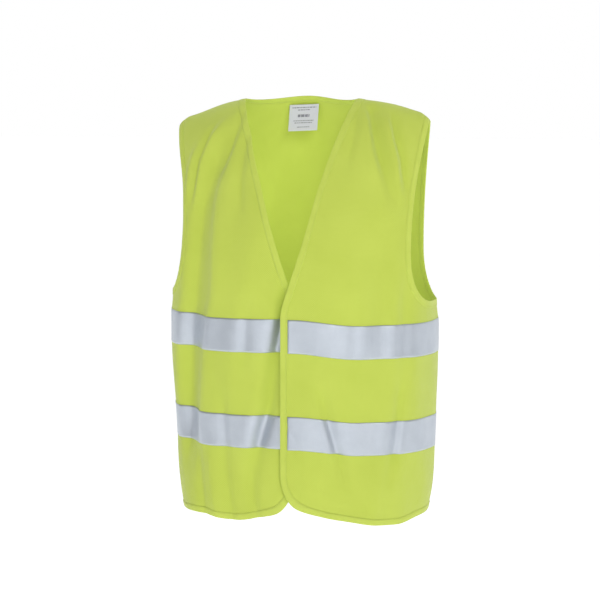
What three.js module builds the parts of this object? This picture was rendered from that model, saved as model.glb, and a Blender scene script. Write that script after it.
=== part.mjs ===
// High visibility vest: a sleeveless knitted-polyester vest with a V neck, two retroreflective bands
// round the body, bound edges, and a front closed by two pairs of hook and loop patches.
// The vest is shown in its worn shape. Millimetres, +Z up, front towards -Y, wearer's left at +X.
// Heights below are measured from the hem; the finished group is lowered so that the origin lies
// between the neck ends of the shoulder seams, where the vest rests on its wearer.
import * as THREE from "three";

// ---- Driving dimensions -------------------------------------------------------------------------
const BODY_HALF_WIDTH = 208; // half the worn width at the reflective bands
const HEM_HALF_WIDTH = 200; // half the worn width at the hem
const UNDERARM_HALF_WIDTH = 205; // half the worn width where the armhole starts
const FRONT_DEPTH = 135; // side seam plane to the front at mid body
const BACK_DEPTH = 130; // side seam plane to the back at mid body
const HEM_DRAW_IN = 5; // how much less deep the hem is than mid body
const SQUARENESS = 0.25; // 0 gives an elliptical body section, more gives fuller corners

const SHOULDER_HEIGHT = 640; // hem to the neck end of the shoulder seam
const SHOULDER_SLOPE = 6; // seam drop over one neck half width, growing with the square
const SHOULDER_CAP_START = 178; // where the seam starts to roll over the shoulder's end
const SHOULDER_CAP_DROP = 10; // drop of that roll at the armhole edge
const SHOULDER_HALF_WIDTH = 195; // centre to the armhole end of the shoulder seam
const SHOULDER_FULLNESS = 1.8; // exponent of the fore and aft profile over the shoulder

const NECK_HALF_WIDTH = 95; // centre to the neck end of the shoulder seam
const BACK_NECK_RISE = 16; // how far the back's virtual ridge stands above the seam at the centre
const BACK_NECK_SHARE = 0.27; // back neck edge at the centre, as a share of the back's depth
const BACK_NECK_BOUND_SHARE = 0.337; // the same at the binding's inner side

const UNDERARM_HEIGHT = 332; // hem to the bottom of the armhole
const ARMHOLE_HALF_WIDTH = 177; // centre to the armhole edge across the chest
const ARMHOLE_CURVE_HEIGHT = 75; // height of the armhole's lower curve

const LEFT_EDGE = -10; // outer front's free edge, past the centre line
const RIGHT_EDGE = -12; // inner front's free edge, past the centre line, on its own side
const NECK_BREAK_HEIGHT = 315; // where the straight front edge turns into the V neck
const CORNER_WIDTH = 110; // front hem corner, elliptical
const CORNER_HEIGHT = 75;

const FABRIC = 1.0; // panel thickness
const TAPE_THICKNESS = 0.5;
const TAPE_WIDTH = 50;
const LOWER_TAPE_HEIGHT = 108; // hem to the lower band's lower edge
const UPPER_TAPE_HEIGHT = 252; // hem to the upper band's lower edge
const BINDING_WIDTH = 12; // front edge, neck and hem
const ARMHOLE_BINDING_WIDTH = 10;
const BINDING_THICKNESS = 0.8;
const GAP = 0.3; // clearance between layers
const WEB_GAP = 0.7; // clearance between a cloth's edge and the fold of its binding
const SEAM_GAP = 0.15; // each panel stays this far from the plane of a seam

const PATCH_WIDTH = 20; // hook and loop
const PATCH_HEIGHT = 50;
const PATCH_THICKNESS = 0.8;
const PATCH_CLEARANCE = 0.4; // between the hooks and the loops when closed

const LABEL_WIDTH = 46;
const LABEL_HEIGHT = 41;
const LABEL_THICKNESS = 0.5;
const LABEL_BELOW_BINDING = 1; // how far under the neck binding the label is sewn
const LABEL_SIDEWAYS = -7; // the label's middle, off the middle of the back

// ---- Derived sizes ------------------------------------------------------------------------------
const HALF_FABRIC = FABRIC / 2;
const LEG_INNER = HALF_FABRIC + GAP; // binding leg, near face, from the panel's middle
const LEG_OUTER = LEG_INNER + BINDING_THICKNESS;
const TAPE_OUTER = LEG_INNER + TAPE_THICKNESS;
const PATCH_INNER = LEG_OUTER + GAP;
const PATCH_OUTER = PATCH_INNER + PATCH_THICKNESS;
const FRONT_LAYERS = 2 * PATCH_OUTER + PATCH_CLEARANCE; // middle to middle where the fronts overlap
const LAYER_FLAT = 24; // the fronts are that far apart within this distance of the centre
const LAYER_FADE = 60; // and merge over this much more
const LAYER_TOP = NECK_BREAK_HEIGHT + 65;
const LAYER_TOP_FADE = 90;
const TAPE_EDGES = [LOWER_TAPE_HEIGHT, UPPER_TAPE_HEIGHT].map((z) => [z, z + TAPE_WIDTH]);
const BODY_TAPER_START = 100; // below this the body narrows to the hem
const ARMHOLE_START = UNDERARM_HEIGHT - ARMHOLE_BINDING_WIDTH; // lower end of the armhole's binding

// ---- Shape of the worn body ---------------------------------------------------------------------
const clamp01 = (t) => Math.min(1, Math.max(0, t));
const smooth = (t) => clamp01(t) ** 2 * (3 - 2 * clamp01(t));

/** Half width of the body at height z, up to the underarm. */
function halfWidth(z) {
  const low = clamp01((BODY_TAPER_START - z) / BODY_TAPER_START);
  const top = TAPE_EDGES[1][1];
  const high = clamp01((z - top) / (ARMHOLE_START - top));
  return (
    BODY_HALF_WIDTH -
    (BODY_HALF_WIDTH - HEM_HALF_WIDTH) * low ** 2 -
    (BODY_HALF_WIDTH - UNDERARM_HALF_WIDTH) * high ** 2
  );
}

/** Depth of the body section at half-width position x and height z, from the side seam plane. */
function sectionDepth(x, z, fullDepth) {
  const low = clamp01((BODY_TAPER_START - z) / BODY_TAPER_START);
  const sine = Math.min(1, Math.abs(x) / halfWidth(z));
  const cosine = Math.sqrt(1 - sine ** 2);
  return (fullDepth - HEM_DRAW_IN * low ** 2) * cosine * (1 + SQUARENESS * sine ** 2);
}

/** Height of the shoulder seam at x, carried on over the neck as a virtual ridge. */
function ridgeHeight(x, isBack) {
  const across = Math.abs(x);
  const seam =
    SHOULDER_HEIGHT +
    SHOULDER_SLOPE * (1 - (across / NECK_HALF_WIDTH) ** 2) -
    SHOULDER_CAP_DROP *
      (Math.max(0, across - SHOULDER_CAP_START) / (SHOULDER_HALF_WIDTH - SHOULDER_CAP_START)) ** 2;
  const bump = isBack ? Math.max(0, 1 - (across / NECK_HALF_WIDTH) ** 2) ** 2 : 0;
  return seam + BACK_NECK_RISE * bump;
}

/** Share of the full depth reached a share t of the way down from the ridge to the underarm. */
const depthShare = (t) => (1 - (1 - clamp01(t)) ** SHOULDER_FULLNESS) ** (1 / SHOULDER_FULLNESS);

/** The inverse of depthShare. */
const dropShare = (q) => 1 - (1 - clamp01(q) ** SHOULDER_FULLNESS) ** (1 / SHOULDER_FULLNESS);

/** How far apart the two fronts are pushed at (x, z), as a share of the full layer distance. */
const layerShare = (x, z) =>
  smooth(1 - (Math.abs(x) - LAYER_FLAT) / LAYER_FADE) * smooth(1 - (z - LAYER_TOP) / LAYER_TOP_FADE);

/** A point of a panel's middle surface. kind holds isBack, depth and layer (+1 outer, -1 inner). */
function bodyPoint(kind, x, z) {
  const share =
    z <= UNDERARM_HEIGHT
      ? 1
      : depthShare(
          (ridgeHeight(x, kind.isBack) - z) / (ridgeHeight(x, kind.isBack) - UNDERARM_HEIGHT),
        );
  const layer = (kind.layer * FRONT_LAYERS * layerShare(x, z)) / 2;
  const depth = sectionDepth(x, Math.min(z, UNDERARM_HEIGHT), kind.depth) * share + layer * share;
  const y = Math.max(SEAM_GAP, depth);
  return new THREE.Vector3(x, kind.isBack ? y : -y, z);
}

/** Height of the point at x whose depth share is q. */
function heightAtShare(kind, x, q) {
  const ridge = ridgeHeight(x, kind.isBack);
  return ridge - (ridge - UNDERARM_HEIGHT) * dropShare(q);
}

// ---- Outlines -----------------------------------------------------------------------------------
/** Armhole edge at height z; inset moves it in from the edge. */
function armholeX(z, inset) {
  const top = UNDERARM_HEIGHT + ARMHOLE_CURVE_HEIGHT;
  if (z < top) {
    const reach = UNDERARM_HALF_WIDTH - ARMHOLE_HALF_WIDTH + inset;
    const drop = clamp01((top - z) / (ARMHOLE_CURVE_HEIGHT + inset));
    return UNDERARM_HALF_WIDTH - reach * Math.sqrt(1 - drop ** 2);
  }
  const tip = ridgeHeight(SHOULDER_HALF_WIDTH, false);
  const flare = SHOULDER_HALF_WIDTH - ARMHOLE_HALF_WIDTH;
  return ARMHOLE_HALF_WIDTH + flare * ((z - top) / (tip - top)) ** 2 - inset;
}

/** The armhole edge's point across the binding from a row's inner end at x. */
function armholeEdgeFrom(row, x) {
  const top = UNDERARM_HEIGHT + ARMHOLE_CURVE_HEIGHT;
  const z = row.heightAt(x);
  if (z >= top) {
    const edgeX = solveEdge(x, (height) => armholeX(height, 0), row.heightAt);
    return [edgeX, row.heightAt(edgeX)];
  }
  const sine = clamp01((top - z) / (ARMHOLE_CURVE_HEIGHT + ARMHOLE_BINDING_WIDTH));
  const reach = UNDERARM_HALF_WIDTH - ARMHOLE_HALF_WIDTH;
  return [
    UNDERARM_HALF_WIDTH - reach * Math.sqrt(1 - sine ** 2),
    top - ARMHOLE_CURVE_HEIGHT * sine,
  ];
}

/** Slope of the V neck: sideways travel for each millimetre of height. */
const neckSlope = (edge) => (NECK_HALF_WIDTH - edge) / (SHOULDER_HEIGHT - NECK_BREAK_HEIGHT);

/** Free front edge at height z: hem corner, straight edge and V neck; inset moves it in. */
function frontEdgeX(edge, z, inset) {
  if (z < CORNER_HEIGHT) {
    const drop = clamp01((CORNER_HEIGHT - z) / (CORNER_HEIGHT - inset));
    return edge + CORNER_WIDTH - (CORNER_WIDTH - inset) * Math.sqrt(1 - drop ** 2);
  }
  const slope = neckSlope(edge);
  const neckInset = inset * Math.sqrt(1 + slope ** 2);
  if (z < NECK_BREAK_HEIGHT) return edge + inset;
  return edge + slope * (z - NECK_BREAK_HEIGHT) + neckInset;
}

/** The front edge's point across the binding from a row's inner end. */
function frontEdgeFrom(edge, row) {
  if (!row.isFlat || row.z >= CORNER_HEIGHT) {
    const edgeX = solveEdge(edge, (height) => frontEdgeX(edge, height, 0), row.heightAt);
    return [edgeX, row.heightAt(edgeX)];
  }
  const sine = clamp01((CORNER_HEIGHT - row.z) / (CORNER_HEIGHT - BINDING_WIDTH));
  return [
    edge + CORNER_WIDTH - CORNER_WIDTH * Math.sqrt(1 - sine ** 2),
    CORNER_HEIGHT * (1 - sine),
  ];
}

// ---- Rows and columns of the panels' meshes -----------------------------------------------------
const range = (count) => Array.from({ length: count + 1 }, (_, i) => i / count);

/** The place a share s of the way round the body's section at height z, from low to high. */
function alongSection(low, high, z, s) {
  const half = halfWidth(Math.min(z, UNDERARM_HEIGHT));
  const [from, to] = [Math.asin(low / half), Math.asin(Math.min(1, high / half))];
  return half * Math.sin(from + (to - from) * s);
}

const CORNER_ROWS = 6;
const SHOULDER_ROWS = 10;
const FRONT_COLUMNS = 9;
const BACK_COLUMNS = [0.15, 0.25, 0.33, 0.42, 0.5, 0.6, 0.7, 0.8, 0.9, 1];
const UNDERARM_ROWS = [1, 0.75, 0.4, 0]; // shares of the armhole binding's width under the armhole

/** Heights of the flat rows from the hem binding up to the underarm. */
function flatRows(hasCorner) {
  const corner = range(CORNER_ROWS).map((t) => {
    const drop = Math.cos((t * Math.PI) / 2);
    return CORNER_HEIGHT - (CORNER_HEIGHT - BINDING_WIDTH) * drop;
  });
  const [lower, upper] = TAPE_EDGES.map(([low, high]) => [low, (low + high) / 2, high]);
  return [
    ...(hasCorner ? corner : [BINDING_WIDTH, CORNER_HEIGHT]),
    ...lower,
    (lower[2] + upper[0]) / 2,
    ...upper,
    NECK_BREAK_HEIGHT,
    ...UNDERARM_ROWS.map((share) => UNDERARM_HEIGHT - ARMHOLE_BINDING_WIDTH * share),
  ];
}

/** Solves x = edgeAt(height of the row at x) for a row that bends with the shoulder. */
function solveEdge(start, edgeAt, heightAt) {
  let x = start;
  for (let i = 0; i < 40; i++) x = (x + edgeAt(heightAt(x))) / 2;
  return x;
}

// ---- Sheets and solids --------------------------------------------------------------------------
/** A conforming sheet of quads on a panel's middle surface. */
class Sheet {
  constructor() {
    this.points = [];
    this.fixedNormals = new Map();
    this.quads = [];
  }

  add(point, normal) {
    this.points.push(point);
    if (normal) this.fixedNormals.set(this.points.length - 1, normal);
    return this.points.length - 1;
  }

  /** Normals averaged from the quads' faces, except where a seam fixes them. */
  finish() {
    this.normals = this.points.map(() => new THREE.Vector3());
    for (const [a, b, c, d] of this.quads)
      for (const [i, j, k] of [
        [a, b, c],
        [a, c, d],
      ]) {
        const face = new THREE.Vector3()
          .subVectors(this.points[j], this.points[i])
          .cross(new THREE.Vector3().subVectors(this.points[k], this.points[i]));
        for (const v of [i, j, k]) this.normals[v].add(face);
      }
    this.normals.forEach((normal, i) => {
      if (this.fixedNormals.has(i)) normal.copy(this.fixedNormals.get(i));
      normal.normalize();
    });
    return this;
  }

  /** The sheet's point i moved along its normal. */
  offset(i, distance) {
    return this.points[i].clone().addScaledVector(this.normals[i], distance);
  }
}

/** A closed geometry from points and triangles, turned to face outwards. */
function closedGeometry(points, triangles) {
  let volume = 0;
  for (const [a, b, c] of triangles) volume += points[a].dot(points[b].clone().cross(points[c]));
  const facing = volume < 0 ? triangles.map(([a, b, c]) => [a, c, b]) : triangles;
  return new THREE.BufferGeometry()
    .setFromPoints(points)
    .setIndex(facing.flat());
}

/** The solid between two offsets of some of a sheet's quads. ends(i) may give a moved point. */
function shell(sheet, quads, low, high, moved = new Map()) {
  const used = [...new Set(quads.flat())];
  const place = new Map(used.map((v, i) => [v, i]));
  const at = (v, distance) =>
    (moved.get(v) ?? sheet.points[v]).clone().addScaledVector(sheet.normals[v], distance);
  const points = [...used.map((v) => at(v, high)), ...used.map((v) => at(v, low))];
  const under = used.length;
  const triangles = [];
  const edges = new Map();
  for (const quad of quads) {
    const [a, b, c, d] = quad.map((v) => place.get(v));
    triangles.push([a, b, c], [a, c, d]);
    triangles.push([a + under, c + under, b + under], [a + under, d + under, c + under]);
    for (const [from, to] of [
      [a, b],
      [b, c],
      [c, d],
      [d, a],
    ])
      if (!edges.delete(`${to},${from}`)) edges.set(`${from},${to}`, [from, to]);
  }
  for (const [from, to] of edges.values())
    triangles.push([from + under, to + under, to], [from + under, to, from]);
  return closedGeometry(points, triangles);
}

/** A binding folded round an edge: stations are [edge point, inner point] indices of the sheet. */
function binding(sheet, stations) {
  const points = [];
  for (const [edge, inner] of stations) {
    const out = sheet.points[edge].clone().sub(sheet.points[inner]).normalize();
    const corner = (height, beyond) => sheet.offset(edge, height).addScaledVector(out, beyond);
    points.push(
      sheet.offset(inner, LEG_INNER),
      sheet.offset(inner, LEG_OUTER),
      corner(LEG_OUTER, WEB_GAP + BINDING_THICKNESS),
      corner(-LEG_OUTER, WEB_GAP + BINDING_THICKNESS),
      sheet.offset(inner, -LEG_OUTER),
      sheet.offset(inner, -LEG_INNER),
      corner(-LEG_INNER, WEB_GAP),
      corner(LEG_INNER, WEB_GAP),
    );
  }
  const sides = 8;
  const triangles = [];
  const last = (stations.length - 1) * sides;
  for (let base = 0; base < last; base += sides)
    for (let i = 0; i < sides; i++) {
      const [a, b] = [base + i, base + ((i + 1) % sides)];
      // Each quad is split from its edge point to the next inner point, as the panel's are.
      if (i === 1 || i === 5) triangles.push([a, a + sides, b], [b, a + sides, b + sides]);
      else triangles.push([a, a + sides, b + sides], [a, b + sides, b]);
    }
  const capQuads = [
    [0, 1, 2, 7],
    [7, 2, 3, 6],
    [6, 3, 4, 5],
  ];
  for (const [a, b, c, d] of capQuads) {
    triangles.push([a, b, c], [a, c, d]);
    triangles.push([last + a, last + c, last + b], [last + a, last + d, last + c]);
  }
  return closedGeometry(points, triangles);
}

/** Outward normal at a shoulder seam: square to the seam, in the plane across it. */
function seamNormal(x, isBack) {
  const step = 0.5;
  const rise = ridgeHeight(x + step, isBack) - ridgeHeight(x - step, isBack);
  return new THREE.Vector3(-rise / (2 * step), 0, 1);
}

// ---- Panels -------------------------------------------------------------------------------------
/** Heights of a row's points: flat rows first, then rows that bend up to the shoulder. */
function rowHeights(kind) {
  const flat = flatRows(!kind.isBack).map((z) => ({ isFlat: true, z, heightAt: () => z }));
  const z = UNDERARM_HEIGHT;
  const bent = range(SHOULDER_ROWS)
    .slice(1)
    .map((t) => {
      const angle = ((1 - t) * Math.PI) / 2;
      const share = Math.sin(angle) ** (2 / SHOULDER_FULLNESS);
      return { isTop: t === 1, z, share, heightAt: (x) => heightAtShare(kind, x, share) };
    });
  return [...flat, ...bent];
}

/** One front panel's sheet, as on the wearer's left; edge is its free edge past the centre. */
function frontSheet(kind, edge) {
  const sheet = new Sheet();
  const side = new THREE.Vector3(1, 0, 0);
  const rows = rowHeights(kind);
  const columns = range(FRONT_COLUMNS);
  const grid = [];
  const edgeRing = [];
  const armholeRing = [];

  for (const row of rows) {
    const inAt = (z) => frontEdgeX(edge, z, BINDING_WIDTH);
    const outAt = (z) => (z < ARMHOLE_START ? halfWidth(z) : armholeX(z, ARMHOLE_BINDING_WIDTH));
    const low = solveEdge(NECK_HALF_WIDTH, inAt, row.heightAt);
    const high = solveEdge(ARMHOLE_HALF_WIDTH, outAt, row.heightAt);
    const isSide = row.isFlat && row.z <= ARMHOLE_START;
    const line = columns.map((s) => {
      const x = alongSection(low, high, row.z, s);
      const normal = row.isTop ? seamNormal(x, false) : isSide && s === 1 ? side : null;
      return sheet.add(bodyPoint(kind, x, row.heightAt(x)), normal);
    });
    grid.push(line);

    const [innerX, outerX] = [low, high];
    if (row.isTop) {
      const neck = bodyPoint(kind, NECK_HALF_WIDTH, ridgeHeight(NECK_HALF_WIDTH, false));
      const tip = bodyPoint(kind, SHOULDER_HALF_WIDTH, ridgeHeight(SHOULDER_HALF_WIDTH, false));
      edgeRing.push([sheet.add(neck, seamNormal(NECK_HALF_WIDTH, false)), line[0]]);
      armholeRing.push([sheet.add(tip, seamNormal(SHOULDER_HALF_WIDTH, false)), line.at(-1)]);
      continue;
    }
    const [edgeX, edgeZ] = frontEdgeFrom(edge, row);
    edgeRing.push([sheet.add(bodyPoint(kind, edgeX, edgeZ)), line[0]]);
    if (row.isFlat && row.z < ARMHOLE_START) continue;
    const [armX, armZ] = armholeEdgeFrom(row, outerX);
    const atSeam = row.isFlat && row.z === ARMHOLE_START;
    armholeRing.push([sheet.add(bodyPoint(kind, armX, armZ), atSeam ? side : null), line.at(-1)]);
  }

  // The hem's ring runs from the side seam to the corner and there joins the free edge's ring.
  const narrowing = halfWidth(0) / halfWidth(BINDING_WIDTH);
  const hemRing = [...grid[0]]
    .reverse()
    .slice(0, -1)
    .map((inner, i) => {
      const point = bodyPoint(kind, sheet.points[inner].x * narrowing, 0);
      return [sheet.add(point, i === 0 ? side : null), inner];
    });
  const ring = [...hemRing, ...edgeRing];

  addGridQuads(sheet, grid);
  armholeRing.reverse();
  addRingQuads(sheet, ring);
  addRingQuads(sheet, armholeRing);
  sheet.finish();
  return { sheet, grid, rows, ring, armholeRing };
}

/** The back panel's sheet, from the wearer's left side to the right. */
function backSheet(kind) {
  const sheet = new Sheet();
  const rows = rowHeights(kind);
  const columns = [...BACK_COLUMNS].reverse().concat(BACK_COLUMNS.map((s) => -s));
  const grid = [];
  const armholeRings = { left: [], right: [] };
  const innerTip = SHOULDER_HALF_WIDTH - ARMHOLE_BINDING_WIDTH;
  const topX = (s) => Math.sign(s) * alongSection(0, innerTip, UNDERARM_HEIGHT, Math.abs(s));
  const innerNeck = Math.min(...columns.map(topX).filter((x) => x > NECK_HALF_WIDTH));
  const neckShare = (x) => BACK_NECK_BOUND_SHARE * Math.sqrt(clamp01(1 - (x / innerNeck) ** 2));

  for (const row of rows) {
    // A bent row climbs only as far as the neck edge that its column ends at.
    const shareAt = (s) => {
      const end = Math.asin(neckShare(topX(s)) ** (SHOULDER_FULLNESS / 2));
      const angle = Math.asin(clamp01(row.share) ** (SHOULDER_FULLNESS / 2));
      const climbed = 1 - angle / (Math.PI / 2);
      const reached = Math.PI / 2 + (end - Math.PI / 2) * climbed;
      return Math.sin(reached) ** (2 / SHOULDER_FULLNESS);
    };
    const outAt = (z) => (z < ARMHOLE_START ? halfWidth(z) : armholeX(z, ARMHOLE_BINDING_WIDTH));
    const high = solveEdge(ARMHOLE_HALF_WIDTH, outAt, row.heightAt);
    const isSide = row.isFlat && row.z <= ARMHOLE_START;
    const line = columns.map((s) => {
      const x = Math.sign(s) * alongSection(0, high, row.z, Math.abs(s));
      const z = row.isFlat ? row.z : heightAtShare(kind, x, shareAt(s));
      const onSeam = row.isTop && Math.abs(x) >= innerNeck - 1e-6;
      const side = isSide && Math.abs(s) === 1 ? new THREE.Vector3(Math.sign(s), 0, 0) : null;
      return sheet.add(bodyPoint(kind, x, z), onSeam ? seamNormal(x, false) : side);
    });
    grid.push(line);

    for (const [name, sign, inner] of [
      ["left", 1, line[0]],
      ["right", -1, line.at(-1)],
    ]) {
      if (row.isFlat && row.z < ARMHOLE_START) continue;
      const tipX = sign * SHOULDER_HALF_WIDTH;
      const [armX, armZ] = row.isTop
        ? [SHOULDER_HALF_WIDTH, ridgeHeight(tipX, false)]
        : armholeEdgeFrom(row, high);
      const atSeam = row.isFlat && row.z === ARMHOLE_START ? new THREE.Vector3(sign, 0, 0) : null;
      const normal = row.isTop ? seamNormal(tipX, false) : atSeam;
      armholeRings[name].push([sheet.add(bodyPoint(kind, sign * armX, armZ), normal), inner]);
    }
  }

  const hemRing = columns.map((s, i) => {
    const x = Math.sign(s) * alongSection(0, halfWidth(0), 0, Math.abs(s));
    const side = Math.abs(s) === 1 ? new THREE.Vector3(Math.sign(s), 0, 0) : null;
    return [sheet.add(bodyPoint(kind, x, 0), side), grid[0][i]];
  });
  const neckRing = [];
  columns.forEach((s, i) => {
    const x = topX(s);
    if (Math.abs(x) > innerNeck + 1e-6) return;
    const edgeX = (x / innerNeck) * NECK_HALF_WIDTH;
    const atSeam = Math.abs(x) > innerNeck - 1e-6;
    const share = atSeam ? 0 : BACK_NECK_SHARE * Math.sqrt(1 - (edgeX / NECK_HALF_WIDTH) ** 2);
    const point = bodyPoint(kind, edgeX, heightAtShare(kind, edgeX, share));
    neckRing.push([sheet.add(point, atSeam ? seamNormal(edgeX, false) : null), grid.at(-1)[i]]);
  });

  addGridQuads(sheet, grid);
  hemRing.reverse();
  armholeRings.right.reverse();
  for (const ring of [hemRing, neckRing, armholeRings.left, armholeRings.right])
    addRingQuads(sheet, ring);
  sheet.finish();
  return { sheet, grid, rows, hemRing, neckRing, armholeRings };
}

function addGridQuads(sheet, grid) {
  for (let r = 0; r + 1 < grid.length; r++)
    for (let c = 0; c + 1 < grid[r].length; c++)
      sheet.quads.push([grid[r][c], grid[r][c + 1], grid[r + 1][c + 1], grid[r + 1][c]]);
}

/** Quads between a ring's edge points and its inner points. */
function addRingQuads(sheet, ring) {
  for (let i = 0; i + 1 < ring.length; i++) {
    const [[edgeA, innerA], [edgeB, innerB]] = [ring[i], ring[i + 1]];
    sheet.quads.push([edgeA, innerA, innerB, edgeB]);
  }
}

/** The quads of the rows of a panel's grid between two heights. */
function bandQuads(panel, low, high) {
  const quads = [];
  panel.rows.forEach((row, r) => {
    if (!row.isFlat || row.z < low || row.z >= high) return;
    for (let c = 0; c + 1 < panel.grid[r].length; c++)
      quads.push([
        panel.grid[r][c],
        panel.grid[r][c + 1],
        panel.grid[r + 1][c + 1],
        panel.grid[r + 1][c],
      ]);
  });
  return quads;
}

/** The band's end points drawn in by GAP, so that it stays clear of the binding beside it. */
function clearOfBinding(panel, low, high) {
  const moved = new Map();
  panel.rows.forEach((row, r) => {
    if (!row.isFlat || row.z < low || row.z > high) return;
    const [end, next] = panel.grid[r];
    const [a, b] = [panel.sheet.points[end], panel.sheet.points[next]];
    moved.set(end, a.clone().lerp(b, (GAP * 1.3) / a.distanceTo(b)));
  });
  return moved;
}

// ---- Materials ----------------------------------------------------------------------------------
const material = (name, color, roughness, metalness = 0) =>
  new THREE.MeshStandardMaterial({ name, color, roughness, metalness });
const YELLOW_KNIT = material("yellow_knit", 0xc6d65b, 0.9);
const YELLOW_BINDING = material("yellow_binding", 0xcbdc58, 0.85);
const REFLECTIVE_TAPE = material("reflective_tape", 0xcad2db, 0.45, 0.35);
const CLOSURE = material("closure_tape", 0xc4d64e, 0.95);
const LABEL_CLOTH = material("label_cloth", 0xe9e9ee, 0.8);

// ---- Assembly -----------------------------------------------------------------------------------
const vest = new THREE.Group();
vest.position.z = -SHOULDER_HEIGHT;

function part(parent, name, geometry, look) {
  const mesh = new THREE.Mesh(geometry, look);
  mesh.name = name;
  parent.add(mesh);
  return mesh;
}

/** Mirrors a geometry to the wearer's right and turns its faces back out. */
function mirrored(geometry) {
  const copy = geometry.clone();
  copy.scale(-1, 1, 1);
  const index = copy.index.array;
  for (let i = 0; i < index.length; i += 3) [index[i + 1], index[i + 2]] = [index[i + 2], index[i + 1]];
  return copy;
}

/** A hook or loop patch on a front; faces inwards on the outer front and outwards on the inner. */
function patchGeometry(kind, centre, low) {
  const sheet = new Sheet();
  const steps = range(2);
  const grid = steps.map((v) =>
    steps.map((u) => {
      const x = centre + (u - 0.5) * PATCH_WIDTH;
      return sheet.add(bodyPoint(kind, x, low + v * PATCH_HEIGHT));
    }),
  );
  addGridQuads(sheet, grid);
  sheet.finish();
  const [near, far] = kind.layer > 0 ? [-PATCH_OUTER, -PATCH_INNER] : [PATCH_INNER, PATCH_OUTER];
  return shell(sheet, sheet.quads, near, far);
}

function addFront(name, layer, edge, patchName) {
  const group = new THREE.Group();
  const kind = { isBack: false, depth: FRONT_DEPTH, layer };
  const isLeft = layer > 0;
  const face = (geometry) => (isLeft ? geometry : mirrored(geometry));
  const panel = frontSheet(kind, edge);
  const { sheet } = panel;
  part(group, `${name}_panel`, face(shell(sheet, sheet.quads, -HALF_FABRIC, HALF_FABRIC)), YELLOW_KNIT);
  part(group, `${name}_edge_binding`, face(binding(sheet, panel.ring)), YELLOW_BINDING);
  part(group, `${name}_armhole_binding`, face(binding(sheet, panel.armholeRing)), YELLOW_BINDING);

  // Both patches of a pair lie over the middle of the fronts' overlap.
  const overlapCentre = (LEFT_EDGE - RIGHT_EDGE) / 2;
  const patchCentre = isLeft ? overlapCentre : -overlapCentre;
  ["lower", "upper"].forEach((level, i) => {
    const [low, high] = TAPE_EDGES[i];
    const moved = clearOfBinding(panel, low, high);
    const tape = shell(sheet, bandQuads(panel, low, high), LEG_INNER, TAPE_OUTER, moved);
    part(group, `${name}_${level}_tape`, face(tape), REFLECTIVE_TAPE);
    const patch = patchGeometry(kind, patchCentre, low + (TAPE_WIDTH - PATCH_HEIGHT) / 2);
    part(group, `${level}_${patchName}_patch`, face(patch), CLOSURE);
  });
  vest.add(group);
}

function addBack() {
  const group = new THREE.Group();
  const kind = { isBack: true, depth: BACK_DEPTH, layer: 0 };
  const panel = backSheet(kind);
  const { sheet } = panel;
  part(group, "back_panel", shell(sheet, sheet.quads, -HALF_FABRIC, HALF_FABRIC), YELLOW_KNIT);
  part(group, "back_neck_binding", binding(sheet, panel.neckRing), YELLOW_BINDING);
  part(group, "back_hem_binding", binding(sheet, panel.hemRing), YELLOW_BINDING);
  for (const side of ["left", "right"]) {
    const ring = panel.armholeRings[side];
    part(group, `${side}_back_armhole_binding`, binding(sheet, ring), YELLOW_BINDING);
  }
  ["lower", "upper"].forEach((level, i) => {
    const tape = shell(sheet, bandQuads(panel, ...TAPE_EDGES[i]), LEG_INNER, TAPE_OUTER);
    part(group, `back_${level}_tape`, tape, REFLECTIVE_TAPE);
  });
  vest.add(group);
  return panel;
}

/** The care label hangs from its sewn top edge, just inside the back below the neck binding. */
function addLabel({ sheet, grid }) {
  const middle = grid[0].length / 2;
  const rowCentre = (row, distance) => {
    const [a, b] = [row[middle - 1], row[middle]].map((v) => sheet.offset(v, distance));
    return a.lerp(b, 0.5);
  };
  const distance = -(HALF_FABRIC + GAP + LABEL_THICKNESS);
  const [below, top] = grid.slice(-2).map((row) => rowCentre(row, distance));
  const seat = top.lerp(below, LABEL_BELOW_BINDING / top.distanceTo(below));
  const label = new THREE.BoxGeometry(LABEL_WIDTH, LABEL_THICKNESS, LABEL_HEIGHT);
  const mesh = part(vest, "care_label", label, LABEL_CLOTH);
  mesh.position.set(LABEL_SIDEWAYS, seat.y, seat.z - LABEL_HEIGHT / 2);
}

addFront("left_front", 1, LEFT_EDGE, "hook");
addFront("right_front", -1, RIGHT_EDGE, "loop");
addLabel(addBack());

export default vest;
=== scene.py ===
"""High visibility vest: knitted panels, bound edges, reflective bands, closure patches and a care label.

Every cloth piece is laid on one body form. A place on the form is an angle round the body and a
length of cloth above the hem. Lengths are in metres, +Z is up and the front faces -Y.
"""

import logging
import math
from dataclasses import dataclass, field
from enum import Enum
from typing import Callable, Sequence

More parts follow.
